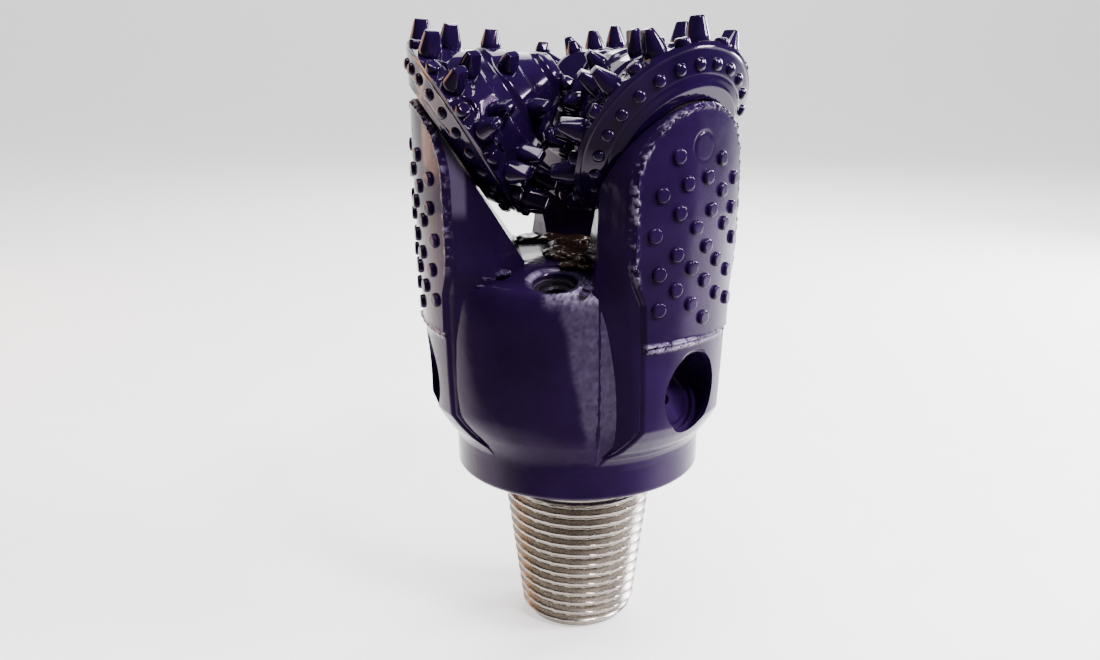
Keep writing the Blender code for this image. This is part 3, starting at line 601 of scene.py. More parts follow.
@dataclass
class Leg:
    """A forged leg: its arm with the pad, its share of the body with the nozzle boss, and its journal."""

    outer: Array = field(default_factory=lambda: np.array([
        (54.05, 12.0), (54.3, 15.6), (55.5, 18.2), (58.9, 22.2), (62.0, 27.0), (64.7, 32.0),
        (65.6, 48.7), (66.3, 66.5), (67.0, 90.0), (67.9, 116.0), (68.3, 170.0)]))
    widths: Array = field(default_factory=lambda: np.array([
        (8.0, 16.0, 24.5, 29.0), (32.0, 17.0, 25.6, 31.4), (60.0, 18.0, 27.6, 34.6),
        (84.0, 19.0, 29.3, 36.5), (92.0, 24.5, 31.0, 35.0), (100.0, 28.5, 32.0, 33.5),
        (116.0, 30.5, 32.0, 32.5), (128.0, 30.5, 32.0, 32.0)]))
    stations: tuple[float, float, float, float] = (73.0, 57.5, 43.5, 12.0)
    foot_z: float = 12.0
    arch_low: float = 128.0
    arch_high: float = 158.7
    face_t: float = -9.8
    pad_low: float = 67.5
    pad_rise: float = 0.9
    corner: float = 1.5
    plug_z: float = 142.6
    mouth: tuple[float, float] = (65.2, 45.0)
    dip: float = 25.0
    bore: float = 15.0
    floor: float = 19.0
    buttons: tuple[tuple[float, float], ...] = (
        (-14.9, 139.6), (-10.3, 129.4), (-21.5, 125.8), (-13.7, 118.7), (-24.0, 111.0), (-14.2, 103.0),
        (-21.5, 96.1), (-13.8, 89.3), (-21.0, 82.3), (0.6, 131.1), (9.6, 137.4), (10.8, 125.2), (3.6, 118.3),
        (13.5, 111.9), (-5.0, 112.4), (1.6, 104.5), (9.3, 98.2), (-6.3, 97.0), (1.7, 91.0), (10.5, 84.5),
        (-5.8, 82.6), (21.5, 129.0), (20.5, 117.5), (23.0, 105.0), (19.0, 92.5), (20.5, 80.5), (2.0, 76.0),
    )
    core: Array = field(default_factory=lambda: np.array([
        (54.05, 12.0), (54.2, 15.5), (55.1, 19.5), (57.2, 27.0), (58.8, 42.0), (59.4, 58.0), (59.0, 74.0),
        (58.2, 83.5), (56.6, 87.6), (53.0, 89.2), (47.0, 90.8), (36.0, 94.5), (20.0, 96.5), (0.4, 97.5)]))
    sector: tuple[float, float] = (-36.9, 82.9)
    nozzle_azimuth: float = 64.0
    nozzle_mouth: tuple[float, float] = (47.2, 92.0)
    nozzle_tilt: float = 15.0
    pocket: float = 8.8
    pocket_depth: float = 25.0
    root_half: float = 9.5
    least_half: float = 0.6
    least_reach: float = 14.0
    plug_y: float = -1.75
    boss_swell: float = 0.7
    fillet: float = 4.6
    seam_half: float = 0.9
    seam_rise: float = 0.17

    def radius(self, z: Array) -> Array:
        """Outside radius at a height, read between the drawing's stations."""
        return np.interp(z, self.outer[:, 1], self.outer[:, 0])

    def half_widths(self, z: Array) -> tuple[Array, Array, Array, Array]:
        """Plan of the section at a height.

        The flank runs straight from (73, w0) to (57.5, w1), so y = a + b x with b = (w0 - w1) / 15.5, and
        it meets the outside x^2 + y^2 = R^2 at x = (-ab + sqrt(a^2 b^2 - (1 + b^2)(a^2 - R^2))) / (1 + b^2).
        Over the arch every width is closed by an ellipse.

        Args:
            z: The height.

        Returns:
            Distance x of the outer corner, and the half widths there, in the middle and inside.
        """
        rise = np.clip((z - self.arch_low) / (self.arch_high + 0.3 - self.arch_low), 0.0, 1.0)
        close = np.sqrt(1.0 - rise**2)
        w0, w1, w2 = (np.interp(z, self.widths[:, 0], self.widths[:, k]) * close for k in (1, 2, 3))
        r = self.radius(z)
        b = (w0 - w1) / (self.stations[0] - self.stations[1])
        a = w1 - self.stations[1] * b
        x = (-a * b + np.sqrt((a * b) ** 2 - (1.0 + b**2) * (a**2 - r**2))) / (1.0 + b**2)
        return x, a + b * x, w1, w2

    def inner(self, y: Array, z: Array) -> Array:
        """Place of the leg's inner plane, which is square to the skewed journal.

        Args:
            y: Place along the rim.
            z: Height.

        Returns:
            Distance x of the plane, never nearer to the axis than the least reach.
        """
        skew = math.radians(SKEW)
        x = (-self.face_t + math.sin(TILT) * (z - CENTRE_Z)) / math.cos(TILT)
        return np.maximum(CENTRE_R + (x - math.sin(skew) * y) / math.cos(skew), self.least_reach)

    def edge_distance(self, y: Array, z: Array) -> Array:
        """Distance inwards from the face's outline: w - |y|, or the ellipse's own over the arch.

        Args:
            y: Place along the rim.
            z: Height.

        Returns:
            The distance, less than 0 outside.
        """
        w = self.half_widths(np.minimum(z, self.arch_low))[1]
        rise = (z - self.arch_low) / (self.arch_high - self.arch_low)
        rho = np.sqrt((y / w) ** 2 + np.maximum(rise, 0.0) ** 2)
        return np.where(rise > 0.0, (1.0 - rho) * w, w - np.abs(y))

    def arm(self) -> Shell:
        """Carry the arm's plan section up the leg.

        The section at a height runs over the outside arc x = sqrt(R^2 - y^2), round a quarter-circle
        corner, down the flank between the stations, and across the inner plane.

        Returns:
            The closed arm, with the pad, the beads and the plug's weld pressed out of its face.
        """
        low = np.linspace(self.foot_z, self.arch_low, LOW_ROWS)[:-1]
        sweep = np.linspace(0.0, math.pi / 2, ARCH_ROWS)
        z = np.concatenate([low, self.arch_low + (self.arch_high - self.arch_low) * np.sin(sweep)])[:, None]
        r = self.radius(z)
        corner_x, wo, wm, wi = self.half_widths(z)
        wo, wm, wi = (np.maximum(w, self.least_half) for w in (wo, wm, wi))
        s = np.sin(np.linspace(-1.0, 1.0, FACE_COLUMNS) * math.pi / 2)[None]
        round_off = np.minimum(self.corner, wo * 0.6)
        y = wo * s
        d = np.maximum(np.abs(y) - (wo - round_off), 0.0)
        x = np.sqrt(r**2 - y**2) - (round_off - np.sqrt(np.maximum(round_off**2 - d**2, 0.0)))
        start = x[:, -1:]
        q = np.linspace(0.0, 1.0, FLANK_COLUMNS)[None, 1:]
        _, middle, inside, root = self.stations
        flanks = []
        for hand in (1.0, -1.0):
            xin = np.minimum(self.inner(hand * wi, z), start - 0.3)
            fx = start + (xin - start) * q
            fy = wo + (wm - wo) * np.clip((start - fx) / np.maximum(start - middle, 1.0), 0.0, 1.0)
            fy = fy + (wi - wm) * np.clip((middle - fx) / (middle - inside), 0.0, 1.0)
            narrow = np.minimum(self.root_half, wi) - wi
            fy = fy + narrow * np.clip((inside - fx) / (inside - root), 0.0, 1.0)
            flanks.append((fx, fy * hand))
        (px, py), (mx, my) = flanks
        c = np.linspace(0.0, 1.0, INNER_COLUMNS)[None, 1:-1]
        cx = px[:, -1:] + (mx[:, -1:] - px[:, -1:]) * c
        cy = py[:, -1:] + (my[:, -1:] - py[:, -1:]) * c
        xs = np.concatenate([x, px, cx, mx[:, ::-1]], axis=1)
        ys = np.concatenate([y, py, cy, my[:, ::-1]], axis=1)
        points = np.stack([xs, ys, np.broadcast_to(z, xs.shape)], axis=-1)
        front = np.zeros(xs.shape)
        front[:, :FACE_COLUMNS] = 1.0
        lift, rub_and_glint = self.relief(points)
        out = points[..., :2] / np.linalg.norm(points[..., :2], axis=-1, keepdims=True)
        points[..., :2] += out * (lift * front)[..., None]
        high = points[..., 2]
        side = (1.0 - front) * smooth(high, 60.0, 95.0)
        flow = rough(points, 11.0, 5, 2) * 0.16 + rough(points, 2.4, 9, 2) * 0.03
        ground = smooth(points[..., 0], 52.0, 54.0) * smooth(high, 113.0, 119.0) * (points[..., 1] > 0.0)
        ground = ground * (1.0 - smooth(high, 136.0, 148.0)) * (1.0 - front)
        points[..., 1] += np.sign(points[..., 1]) * flow * side
        shell = grid(points, wrap_v=True, caps=True)
        # On the face the light grains are partly painted glints.
        shell.wear_and_glint = np.concatenate([(rub_and_glint * front + 0.22 * ground).reshape(-1), [0.0, 0.0]])
        return shell

    def relief(self, points: Array) -> tuple[Array, Array]:
        """Height, and scuffed paint with painted glints, over the arm's outside: pad step, beads, plug weld
        and casting skin.

        Args:
            points: Points of the face.

        Returns:
            The height in millimetres, and the scuffed paint and painted glint from 0 to 1.
        """
        y, z = points[..., 1], points[..., 2]
        edge = self.edge_distance(y, z)
        grain = rough(points, 1.4, 3, 3)
        left = 1.0 - smooth(y, -6.0, 6.0)
        pad = smooth(z, self.pad_low - 0.4, self.pad_low + 0.5) * smooth(edge, 0.3, 1.5)
        lift = self.pad_rise * pad
        reach = smooth(z, 90.0, 98.0) * (0.55 + 0.45 * left) + smooth(z, 132.0, 150.0) * 0.45 * (1.0 - left)
        bead = bump(edge, 1.25, 0.85) * reach
        lift = lift + bead * np.maximum(0.40 + 0.85 * grain, 0.0)
        line = self.pad_low - 0.6
        foot = bump(z, line - 0.9, 0.75) + bump(z, line + 0.9, 0.75) * (0.35 + 0.65 * left)
        foot = foot * smooth(edge, 0.2, 1.6) * (0.45 + 0.55 * left)
        lift = lift + foot * (1.1 + 0.6 * grain)
        ring = np.hypot(y - self.plug_y, z - self.plug_z)
        facing = ((z - self.plug_z) * 0.8 - (y - self.plug_y) * 0.6) / np.maximum(ring, 0.1)
        lift = lift - 0.34 * bump(ring, 5.4, 0.5) * (0.25 + 0.75 * smooth(facing, -0.4, 0.6))
        skin = 0.05 * noise(points, 14.0, 21) + 0.03 * noise(points, 5.0, 22)
        # Light grains on the beads and the foot weld: partly scuffed paint, partly painted glints that stand
        # in for highlights.
        wear_and_glint = bead * smooth(grain, 0.1, 0.7) * 0.8 + foot * smooth(grain, -0.5, 0.3) * 0.9
        return lift + skin, np.clip(wear_and_glint, 0.0, 1.0)

    def body(self) -> Shell:
        """Turn the body's outside line through the leg's share of the circle.

        The radius is that of the line, plus a slow swell across the boss and the forging's skin.

        Returns:
            The closed sector with its two seam faces.
        """
        line = resample(soften(self.core, 2), 0.8)
        turn = np.radians(np.linspace(*self.sector, BODY_COLUMNS))[:, None]
        r, z = line[:, 0][None], line[:, 1][None]
        degrees = np.degrees(turn)
        side = smooth(r, 30.0, 52.0) * smooth(z, 16.0, 34.0)
        swell = self.boss_swell * bump(degrees, 62.0, 19.0)
        fillet = self.fillet * (1.0 - smooth(degrees, 26.0, 56.0)) * (degrees > 0.0)
        rr = r + (swell + fillet) * side
        points = np.stack([rr * np.cos(turn), rr * np.sin(turn), np.broadcast_to(z, rr.shape)], axis=-1)
        start = 67.0 + 9.0 * (84.0 - z) / 52.0 + 1.2 * noise(points, 6.0, 43)
        # Band beside the seam: rough skin, and a lighter tone that is a painted highlight.
        band = np.maximum(smooth(degrees - start, 0.0, 3.0), 1.0 - smooth(degrees, -30.0, -26.0))
        band = band * smooth(z, 22.0, 34.0) * smooth(r, 44.0, 52.0)
        flank = np.maximum(smooth(degrees, 60.0, 66.0), degrees < 0.0)
        rim = bump(z, 87.5, 3.6) * smooth(r, 44.0, 52.0) * flank
        grain = rough(points, 1.3, 41, 3)
        skin = 0.09 * rough(points, 13.0, 31, 2) + 0.03 * rough(points, 3.5, 35, 2)
        skin = skin + band * 0.06 * rough(points * np.array([1.0, 1.0, 0.5]), 1.6, 37, 2)
        skin = skin + bump(degrees - start, 1.5, 2.0) * 0.10 * grain + rim * (0.2 + 0.35 * grain)
        # Light tone: on the band a painted highlight; on the rim weld partly painted glints, partly scuffed
        # paint.
        wear_and_glint = np.clip(band * (0.13 + 0.06 * grain) + rim * (0.45 + 0.5 * grain), 0.0, 1.0)
        points[..., 0] += np.cos(turn) * skin * smooth(r, 6.0, 30.0)
        points[..., 1] += np.sin(turn) * skin * smooth(r, 6.0, 30.0)
        points[..., 2] += skin * smooth(r, 20.0, 40.0) * (1.0 - smooth(r, 50.0, 56.0)) * 2.0
        foot = np.stack([0.4 * np.cos(turn), 0.4 * np.sin(turn), np.full(turn.shape, self.foot_z)], axis=-1)
        points = np.concatenate([points, foot], axis=1)
        shell = grid(points, wrap_v=True, caps=True)
        shell.wear_and_glint = np.concatenate([np.pad(wear_and_glint, ((0, 0), (0, 1))).reshape(-1), [0.0, 0.0]])
        return shell

    def seam(self) -> Shell:
        """Lay a lumpy weld bead along the seam beside the boss.

        Returns:
            A closed tube that follows the body's outside line, its radius swelling with the noise.
        """
        line = resample(soften(self.core[1:9], 2), 0.5)
        turn = math.radians(self.sector[1] + 0.1)
        centre = np.stack([line[:, 0] * math.cos(turn), line[:, 0] * math.sin(turn), line[:, 1]], axis=1)
        tangent = np.gradient(centre, axis=0)
        tangent /= np.linalg.norm(tangent, axis=1, keepdims=True)
        side = np.array([-math.sin(turn), math.cos(turn), 0.0])
        up = np.cross(side, tangent)
        a = np.arange(18) * math.tau / 18
        across = np.cos(a)[None, :, None] * side[None, None] * self.seam_half
        ring = across + np.sin(a)[None, :, None] * up[:, None] * self.seam_rise
        lump = 1.0 + 0.45 * rough(centre[:, None] + ring, 2.2, 51, 3)
        count = np.arange(len(line))
        ends = np.minimum(1.0, np.minimum(count, len(line) - 1 - count) / 4.0 + 0.2)
        return grid(centre[:, None] + ring * (lump * ends[:, None])[..., None], wrap_v=True, caps=True)

    def spatter(self, crotch: bool) -> Shell:
        """Drop weld lumps at the boss's rim beside the next leg's flank, or slag in the crotch.

        Each lump is a ball whose radius is stretched by noise.

        Args:
            crotch: Whether the crotch's own lumps are wanted.

        Returns:
            The closed lumps.
        """
        where, flat, wear_and_glint = (CROTCH_SLAG, 0.42, 0.0) if crotch else (WELD_LUMPS, 0.6, 0.06)
        lat = np.linspace(0.0, math.pi, 20)[:, None]
        lon = (np.arange(30) * math.tau / 30)[None]
        level = np.cos(lat) * np.ones_like(lon)
        unit = np.stack([np.sin(lat) * np.cos(lon), np.sin(lat) * np.sin(lon), level], axis=-1)
        lumps = []
        for r, azimuth, z, size in where:
            t = math.radians(azimuth)
            centre = np.array([r * math.cos(t), r * math.sin(t), z])
            ball = unit * np.array([1.3, 1.3, flat]) * size
            swell = 1.0 + 0.30 * rough(centre + ball, size * 0.7, 71, 3)[..., None]
            lump = grid(centre + ball * swell, wrap_v=True, caps=True)
            lump.wear_and_glint = np.full(len(lump.points), wear_and_glint)
            lumps.append(lump)
        return join(lumps)

    def knobs(self) -> Shell:
        """Stand a flat-topped button at each place of the pad's layout.

        Returns:
            All buttons of the pad.
        """
        p = np.array([(0.3, 1.5), (2.1, 1.48), (2.6, 1.35), (2.85, 1.05), (2.92, 0.6), (2.92, -1.6)])
        one = lathe(resample(soften(p, 1), 0.4), 28)
        place = np.array(self.buttons)
        y, z = place[:, 0], place[:, 1]
        r = self.radius(z) + self.pad_rise
        x = np.sqrt(r**2 - y**2)
        out = np.stack([x / r, y / r, np.zeros(len(x))], axis=1)
        spots = stand(np.stack([x, y, z], axis=1), out, np.tile([0.0, 0.0, 1.0], (len(x), 1)))
        return one.many(spots)

    def reservoir_tool(self) -> Shell:
        """Stepped rod along the reservoir's axis that cuts its recess.

        Returns:
            The closed rod.
        """
        a = math.radians(self.dip)
        inward = np.array([-math.cos(a), 0.0, -math.sin(a)])
        wide = self.bore + 0.9
        rod = np.array([
            (0.3, -16.0), (wide, -16.0), (wide, -7.4), (self.bore, -6.5), (self.bore, 12.2),
            (wide, 12.4), (wide, 14.2), (self.bore, 14.4), (self.bore, self.floor),
            (11.0, self.floor), (11.0, 33.0), (0.3, 33.0)])
        m = stand(np.array([[self.mouth[0], 0.0, self.mouth[1]]]), inward[None], np.array([[0.0, 1.0, 0.0]]))
        return lathe(rod, 72).moved(m[0])

    def pocket_frame(self) -> Array:
        """Place the nozzle's mouth.

        Returns:
            The matrix of the mouth, its z pointing out.
        """
        t, a = math.radians(self.nozzle_tilt), math.radians(self.nozzle_azimuth)
        out = np.array([math.cos(a), math.sin(a), 0.0])
        way = out * math.sin(t) + np.array([0.0, 0.0, math.cos(t)])
        place = out * self.nozzle_mouth[0] + np.array([0.0, 0.0, self.nozzle_mouth[1]])
        return stand(place[None], way[None], out[None])[0]

    def pocket_tool(self) -> Shell:
        """Stepped rod along the nozzle's axis that cuts its pocket, spot face and port.

        Returns:
            The closed rod.
        """
        p, deep = self.pocket, -self.pocket_depth
        rod = np.array([
            (0.3, 14.0), (p + 3.2, 14.0), (p + 3.2, -1.4), (p + 1.0, -2.0), (p, -3.0), (p, -4.2),
            (p + 0.5, -4.6), (p + 0.5, -5.6), (p, -6.0), (p, deep), (6.2, deep), (6.2, -52.0), (0.3, -52.0)])
        return lathe(rod, 72).moved(self.pocket_frame())

    def journal(self) -> Shell:
        """Turn the journal: seal land, bearing, ball groove, flange and pilot.

        Returns:
            The journal at its place in the leg.
        """
        a = np.radians(np.linspace(180.0 - 26.7, 360.0 - 26.7, 15))
        groove = np.stack([17.5 + 4.45 * np.sin(a), 20.0 + 4.45 * np.cos(a)], axis=1)
        rows = np.concatenate([
            [(0.3, -10.8), (21.5, -10.8), (21.5, -3.2), (21.1, -2.8), (19.5, -2.8)], groove,
            [(15.5, 26.1), (15.1, 26.5), (8.2, 26.5), (8.2, 35.8), (7.4, 36.6), (0.3, 36.6)]])
        return lathe(rows, 96).moved(journal_matrix())

    def dress(self, palette: Palette) -> None:
        """Build the leg once and set it round the axis three times.

        Args:
            palette: The materials.
        """
        paint = palette[Look.LACQUER]
        arm = self.arm().build("arm_pattern", paint)
        cut(arm, self.reservoir_tool().build("tool", paint))
        body = self.body().build("body_pattern", paint)
        cut(body, self.reservoir_tool().build("tool", paint))
        cut(body, self.pocket_tool().build("tool", paint))
        for pattern in (arm, body):
            pattern.data.shade_smooth()
            pattern.data.set_sharp_from_angle(angle=math.radians(LEG_SHARP))
        small = {
            "seam_bead": (self.seam(), paint, SHARP),
            "weld_lumps": (self.spatter(False), paint, LUMP_SHARP),
            "crotch_slag": (self.spatter(True), palette[Look.SLAG], LUMP_SHARP),
            "pad_buttons": (self.knobs(), paint, SHARP),
            "journal": (self.journal(), palette[Look.TURNED], SHARP),
        }
        for number, azimuth in LEG_AZIMUTH.items():
            turn = turn_z(azimuth)
            pieces = {
                f"leg_arm_{number}": copy_turned(arm, turn),
                f"leg_body_{number}": copy_turned(body, turn),
            }
            for stem, (shell, material, angle) in small.items():
                name = f"{stem}_{number}"
                pieces[name] = shell.moved(turn).build(name, material, angle)
            for name, piece in pieces.items():
                piece.name = name
                piece.data.name = name
                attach(piece, ROOT)
            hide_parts(f"leg_{number}")
            LOG.info("leg %d dressed in %d pieces", number, len(pieces))
        for pattern in (arm, body):
            bpy.data.objects.remove(pattern, do_unlink=True)


def copy_turned(pattern: Obj, turn: Array) -> Obj:
    """Copy an object's mesh and turn its points about the axis.

    Args:
        pattern: The object to copy.
        turn: The 4 by 4 turn.

    Returns:
        The new object at the origin.
    """
    mesh = pattern.data.copy()
    co = np.empty(len(mesh.vertices) * 3, np.float32)
    mesh.vertices.foreach_get("co", co)
    mesh.vertices.foreach_set("co", (co.reshape(-1, 3) @ turn[:3, :3].T).astype(np.float32).reshape(-1))
    mesh.update()
    obj = bpy.data.objects.new(pattern.name, mesh)
    bpy.context.scene.collection.objects.link(obj)
    return obj


@dataclass(frozen=True)
class Row:
    """A row of inserts: slant distance from the apex, number, radius, stand-out and first angle."""

    slant: float
    count: int
    radius: float
    height: float
    first: float = 0.0


GAUGE = Row(64.6, 12, 4.6, 8.7)
RIM = Row(67.6, 12, 3.0, 1.7, 15.0)
# Each cone's rows, the height of its nose, and radius and stand-out of the nose's own insert
LAYOUT: dict[int, tuple[tuple[Row, ...], float, tuple[float, float] | None]] = {
    1: ((GAUGE, Row(50.6, 9, 4.5, 8.4, 12.0), Row(29.6, 6, 4.0, 6.0, 5.0)), 47.6, (3.2, 3.6)),
    2: ((GAUGE, Row(44.0, 8, 4.4, 7.6, 7.0), Row(22.4, 4, 3.7, 4.6, 20.0)), 42.0, None),
    3: ((GAUGE, Row(54.4, 10, 4.5, 8.4, 15.0), Row(37.2, 7, 4.1, 6.6, 3.0),
         Row(16.2, 3, 3.0, 3.2, 9.0)), 44.5, None),
}


@dataclass
class Cone:
    """One cone: its shell with spot-faced seats, its inserts and its heel buttons."""

    number: int
    radius: float = 42.0
    half: float = math.radians(36.5)
    groove: float = 1.5
    land: float = 4.4
    seat_depth: float = 0.75
    rim_depth: float = 1.3
    columns: int = 330
    step: float = 0.46
    chisel: int = 12
    heel_count: int = 24
    heel_place: tuple[float, float] = (35.0, -5.1)
    heel_normal: tuple[float, float] = (0.61, -0.79)

    def at(self, slant: float) -> tuple[float, float]:
        """Radius and height on the side at a slant distance from the apex."""
        apex = self.radius / math.tan(self.half)
        return slant * math.sin(self.half), apex - slant * math.cos(self.half)

    def outline(self) -> Array:
        """Draw the outside, from the back face over the heel, the lands and grooves to the nose.

        Returns:
            Rows of radius and height at even steps.
        """
        rows, nose, _ = LAYOUT[self.number]
        normal = np.array([math.cos(self.half), math.sin(self.half)])
        nose_slant = (self.radius / math.tan(self.half) - nose) / math.cos(self.half)
        slants = sorted((row.slant for row in rows), reverse=True)
        line = [
            (22.3, 8.0), (22.3, -9.0), (27.8, -9.0), (28.6, -8.3), (30.9, -6.9), (31.15, -6.45), (31.6, -6.5),
            (39.3, -1.75), (39.5, -2.0), (39.9, -1.35), (41.4, -0.4), (41.7, 0.6)]
        for k, slant in enumerate(slants):
            inner = slant - self.land
            if inner > nose_slant + 3.0:
                line.append(self.at(inner + 0.6))
            after = slants[k + 1] + self.land if k + 1 < len(slants) else nose_slant + 4.4
            if inner - after > 4.8:
                wide = min(1.6, (inner - after) / 2 - 0.8)
                for edge in (inner - wide, after + wide):
                    line.append(tuple(np.array(self.at(edge)) - self.groove * normal))
                line.append(self.at(after - 0.6))
        r, t = self.at(nose_slant + 2.6)
        line += [(r, t), (r - 2.6, nose), (0.3, nose)]
        fine = resample(np.array(line), self.step)
        return resample(soften(fine, 2), self.step)

    def seats(self) -> tuple[Array, Array, Array]:
        """Place the seats of every row, the rim's own last.

        Returns:
            Places, normals and radii, one row for each insert.
        """
        places, normals, sizes = [], [], []
        slope = np.array([(math.cos(self.half), math.sin(self.half))])
        for row in (*LAYOUT[self.number][0], RIM):
            a = np.radians(row.first + np.arange(row.count) * 360.0 / row.count)
            places.append(rings(np.array([self.at(row.slant)]), a)[0])
            normals.append(rings(slope, a)[0])
            sizes.append(np.full(len(a), row.radius))
        return np.concatenate(places), np.concatenate(normals), np.concatenate(sizes)

    def shell(self) -> Shell:
        """Turn the outline and mill a flat round each insert.

        A point within a seat's circle is lowered to the seat's plane where it stands above it.

        Returns:
            The cone's skin, open only into its own bore.
        """
        skin = lathe(self.outline(), self.columns)
        p = skin.points
        for place, normal, size in zip(*self.seats()):
            v = p - place
            h = v @ normal
            d = np.linalg.norm(v - h[:, None] * normal, axis=1)
            deep = self.seat_depth if size > RIM.radius + 0.05 else self.rim_depth
            inside = smooth(size * 1.34 + 1.8 - d, -0.2, 0.2) * (h > -4.0)
            drop = np.maximum(h + deep, 0.0) * inside
            p -= drop[:, None] * normal
        p += 0.015 * noise(p, 9.0, 61)[:, None] * p / np.linalg.norm(p, axis=1, keepdims=True)
        skin.points, skin.wear_and_glint = p, np.zeros(len(p))
        return skin

    def tooth(self, radius: float, height: float) -> Shell:
        """Form one insert: a round shank under a chisel with two flat flanks.

        The round section narrows up the height, and across it y is held within the flanks by
        y b / (|y|^12 + b^12)^(1/12), where b falls in a straight line to the crest.

        Args:
            radius: Radius of the shank.
            height: How far it stands out.

        Returns:
            The closed insert on z = 0, its crest along x.
        """
        rows = np.array([
            (-0.25, 1.0, 1.3), (0.0, 1.0, 1.2), (0.12, 1.0, 1.05), (0.17, 0.985, 0.98), (0.30, 0.93, 0.875),
            (0.45, 0.865, 0.76), (0.60, 0.80, 0.645), (0.75, 0.735, 0.53), (0.90, 0.67, 0.415),
            (0.955, 0.63, 0.37), (0.985, 0.57, 0.32), (1.0, 0.46, 0.24), (1.0, 0.03, 0.02)])
        a = np.arange(40) * math.tau / 40
        x = radius * rows[:, 1][:, None] * np.cos(a)
        y = radius * rows[:, 1][:, None] * np.sin(a)
        b = radius * rows[:, 2][:, None]
        y = y * b / (np.abs(y) ** self.chisel + b**self.chisel) ** (1.0 / self.chisel)
        z = np.broadcast_to(rows[:, 0][:, None] * height, x.shape)
        return grid(np.stack([x, y, z], axis=-1), wrap_v=True, caps=True)

    def stub(self, radius: float, height: float) -> Shell:
        """Turn a low flat-topped insert with a rounded edge.

        Args:
            radius: Its radius.
            height: How far it stands out.

        Returns:
            The insert on z = 0.
        """
        rows = np.array([
            (0.05, height), (radius * 0.66, height), (radius * 0.92, height * 0.72), (radius, height * 0.2),
            (radius, -2.4), (0.05, -2.4)])
        return lathe(soften(rows, 2), 32)

    def teeth(self) -> Shell:
        """Set the inserts of every row, and the nose's own where there is one.

        Returns:
            All inserts of the cone.
        """
        rows, nose, tip = LAYOUT[self.number]
        places, normals, _ = self.seats()
        made = []
        first = 0
        for row in (*rows, RIM):
            pick = slice(first, first + row.count)
            first += row.count
            along = np.tile([0.0, 0.0, 1.0], (row.count, 1))
            form = self.stub if row is RIM else self.tooth
            made.append(form(row.radius, row.height).many(stand(places[pick], normals[pick], along)))
        if tip is not None:
            m = np.eye(4)
            m[2, 3] = nose
            made.append(self.tooth(*tip).moved(m))
        return join(made)

    def heel(self) -> Shell:
        """Set the heel buttons in a ring on the cone's back.

        Returns:
            All heel buttons of the cone.
        """
        p = np.array([(0.3, 1.05), (1.4, 0.92), (2.1, 0.5), (2.45, 0.0), (2.45, -1.0)])
        one = lathe(resample(soften(p, 1), 0.4), 20)
        a = np.radians((np.arange(self.heel_count) + 0.5) * 360.0 / self.heel_count)
        places = rings(np.array([self.heel_place]), a)[0]
        normals = rings(np.array([self.heel_normal]), a)[0]
        return one.many(stand(places, normals, np.tile([0.0, 0.0, 1.0], (len(a), 1))))

    def dress(self, palette: Palette) -> None:
        """Build the cone's pieces on its own leg and let them ride with the cutter.

        Args:
            palette: The materials.
        """
        paint = palette[Look.CUTTER]
        m = turn_z(LEG_AZIMUTH[self.number]) @ journal_matrix()
        shell = self.shell().moved(m).build(f"cone_shell_{self.number}", paint, 34.0)
        teeth = self.teeth().moved(m).build(f"inserts_{self.number}", paint, 26.0)
        heel = self.heel().moved(m).build(f"heel_buttons_{self.number}", paint)
        for piece in (shell, teeth, heel):
            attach(piece, f"cutter_{self.number}")
        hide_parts(f"cone_{self.number}")
        LOG.info("cone %d dressed", self.number)


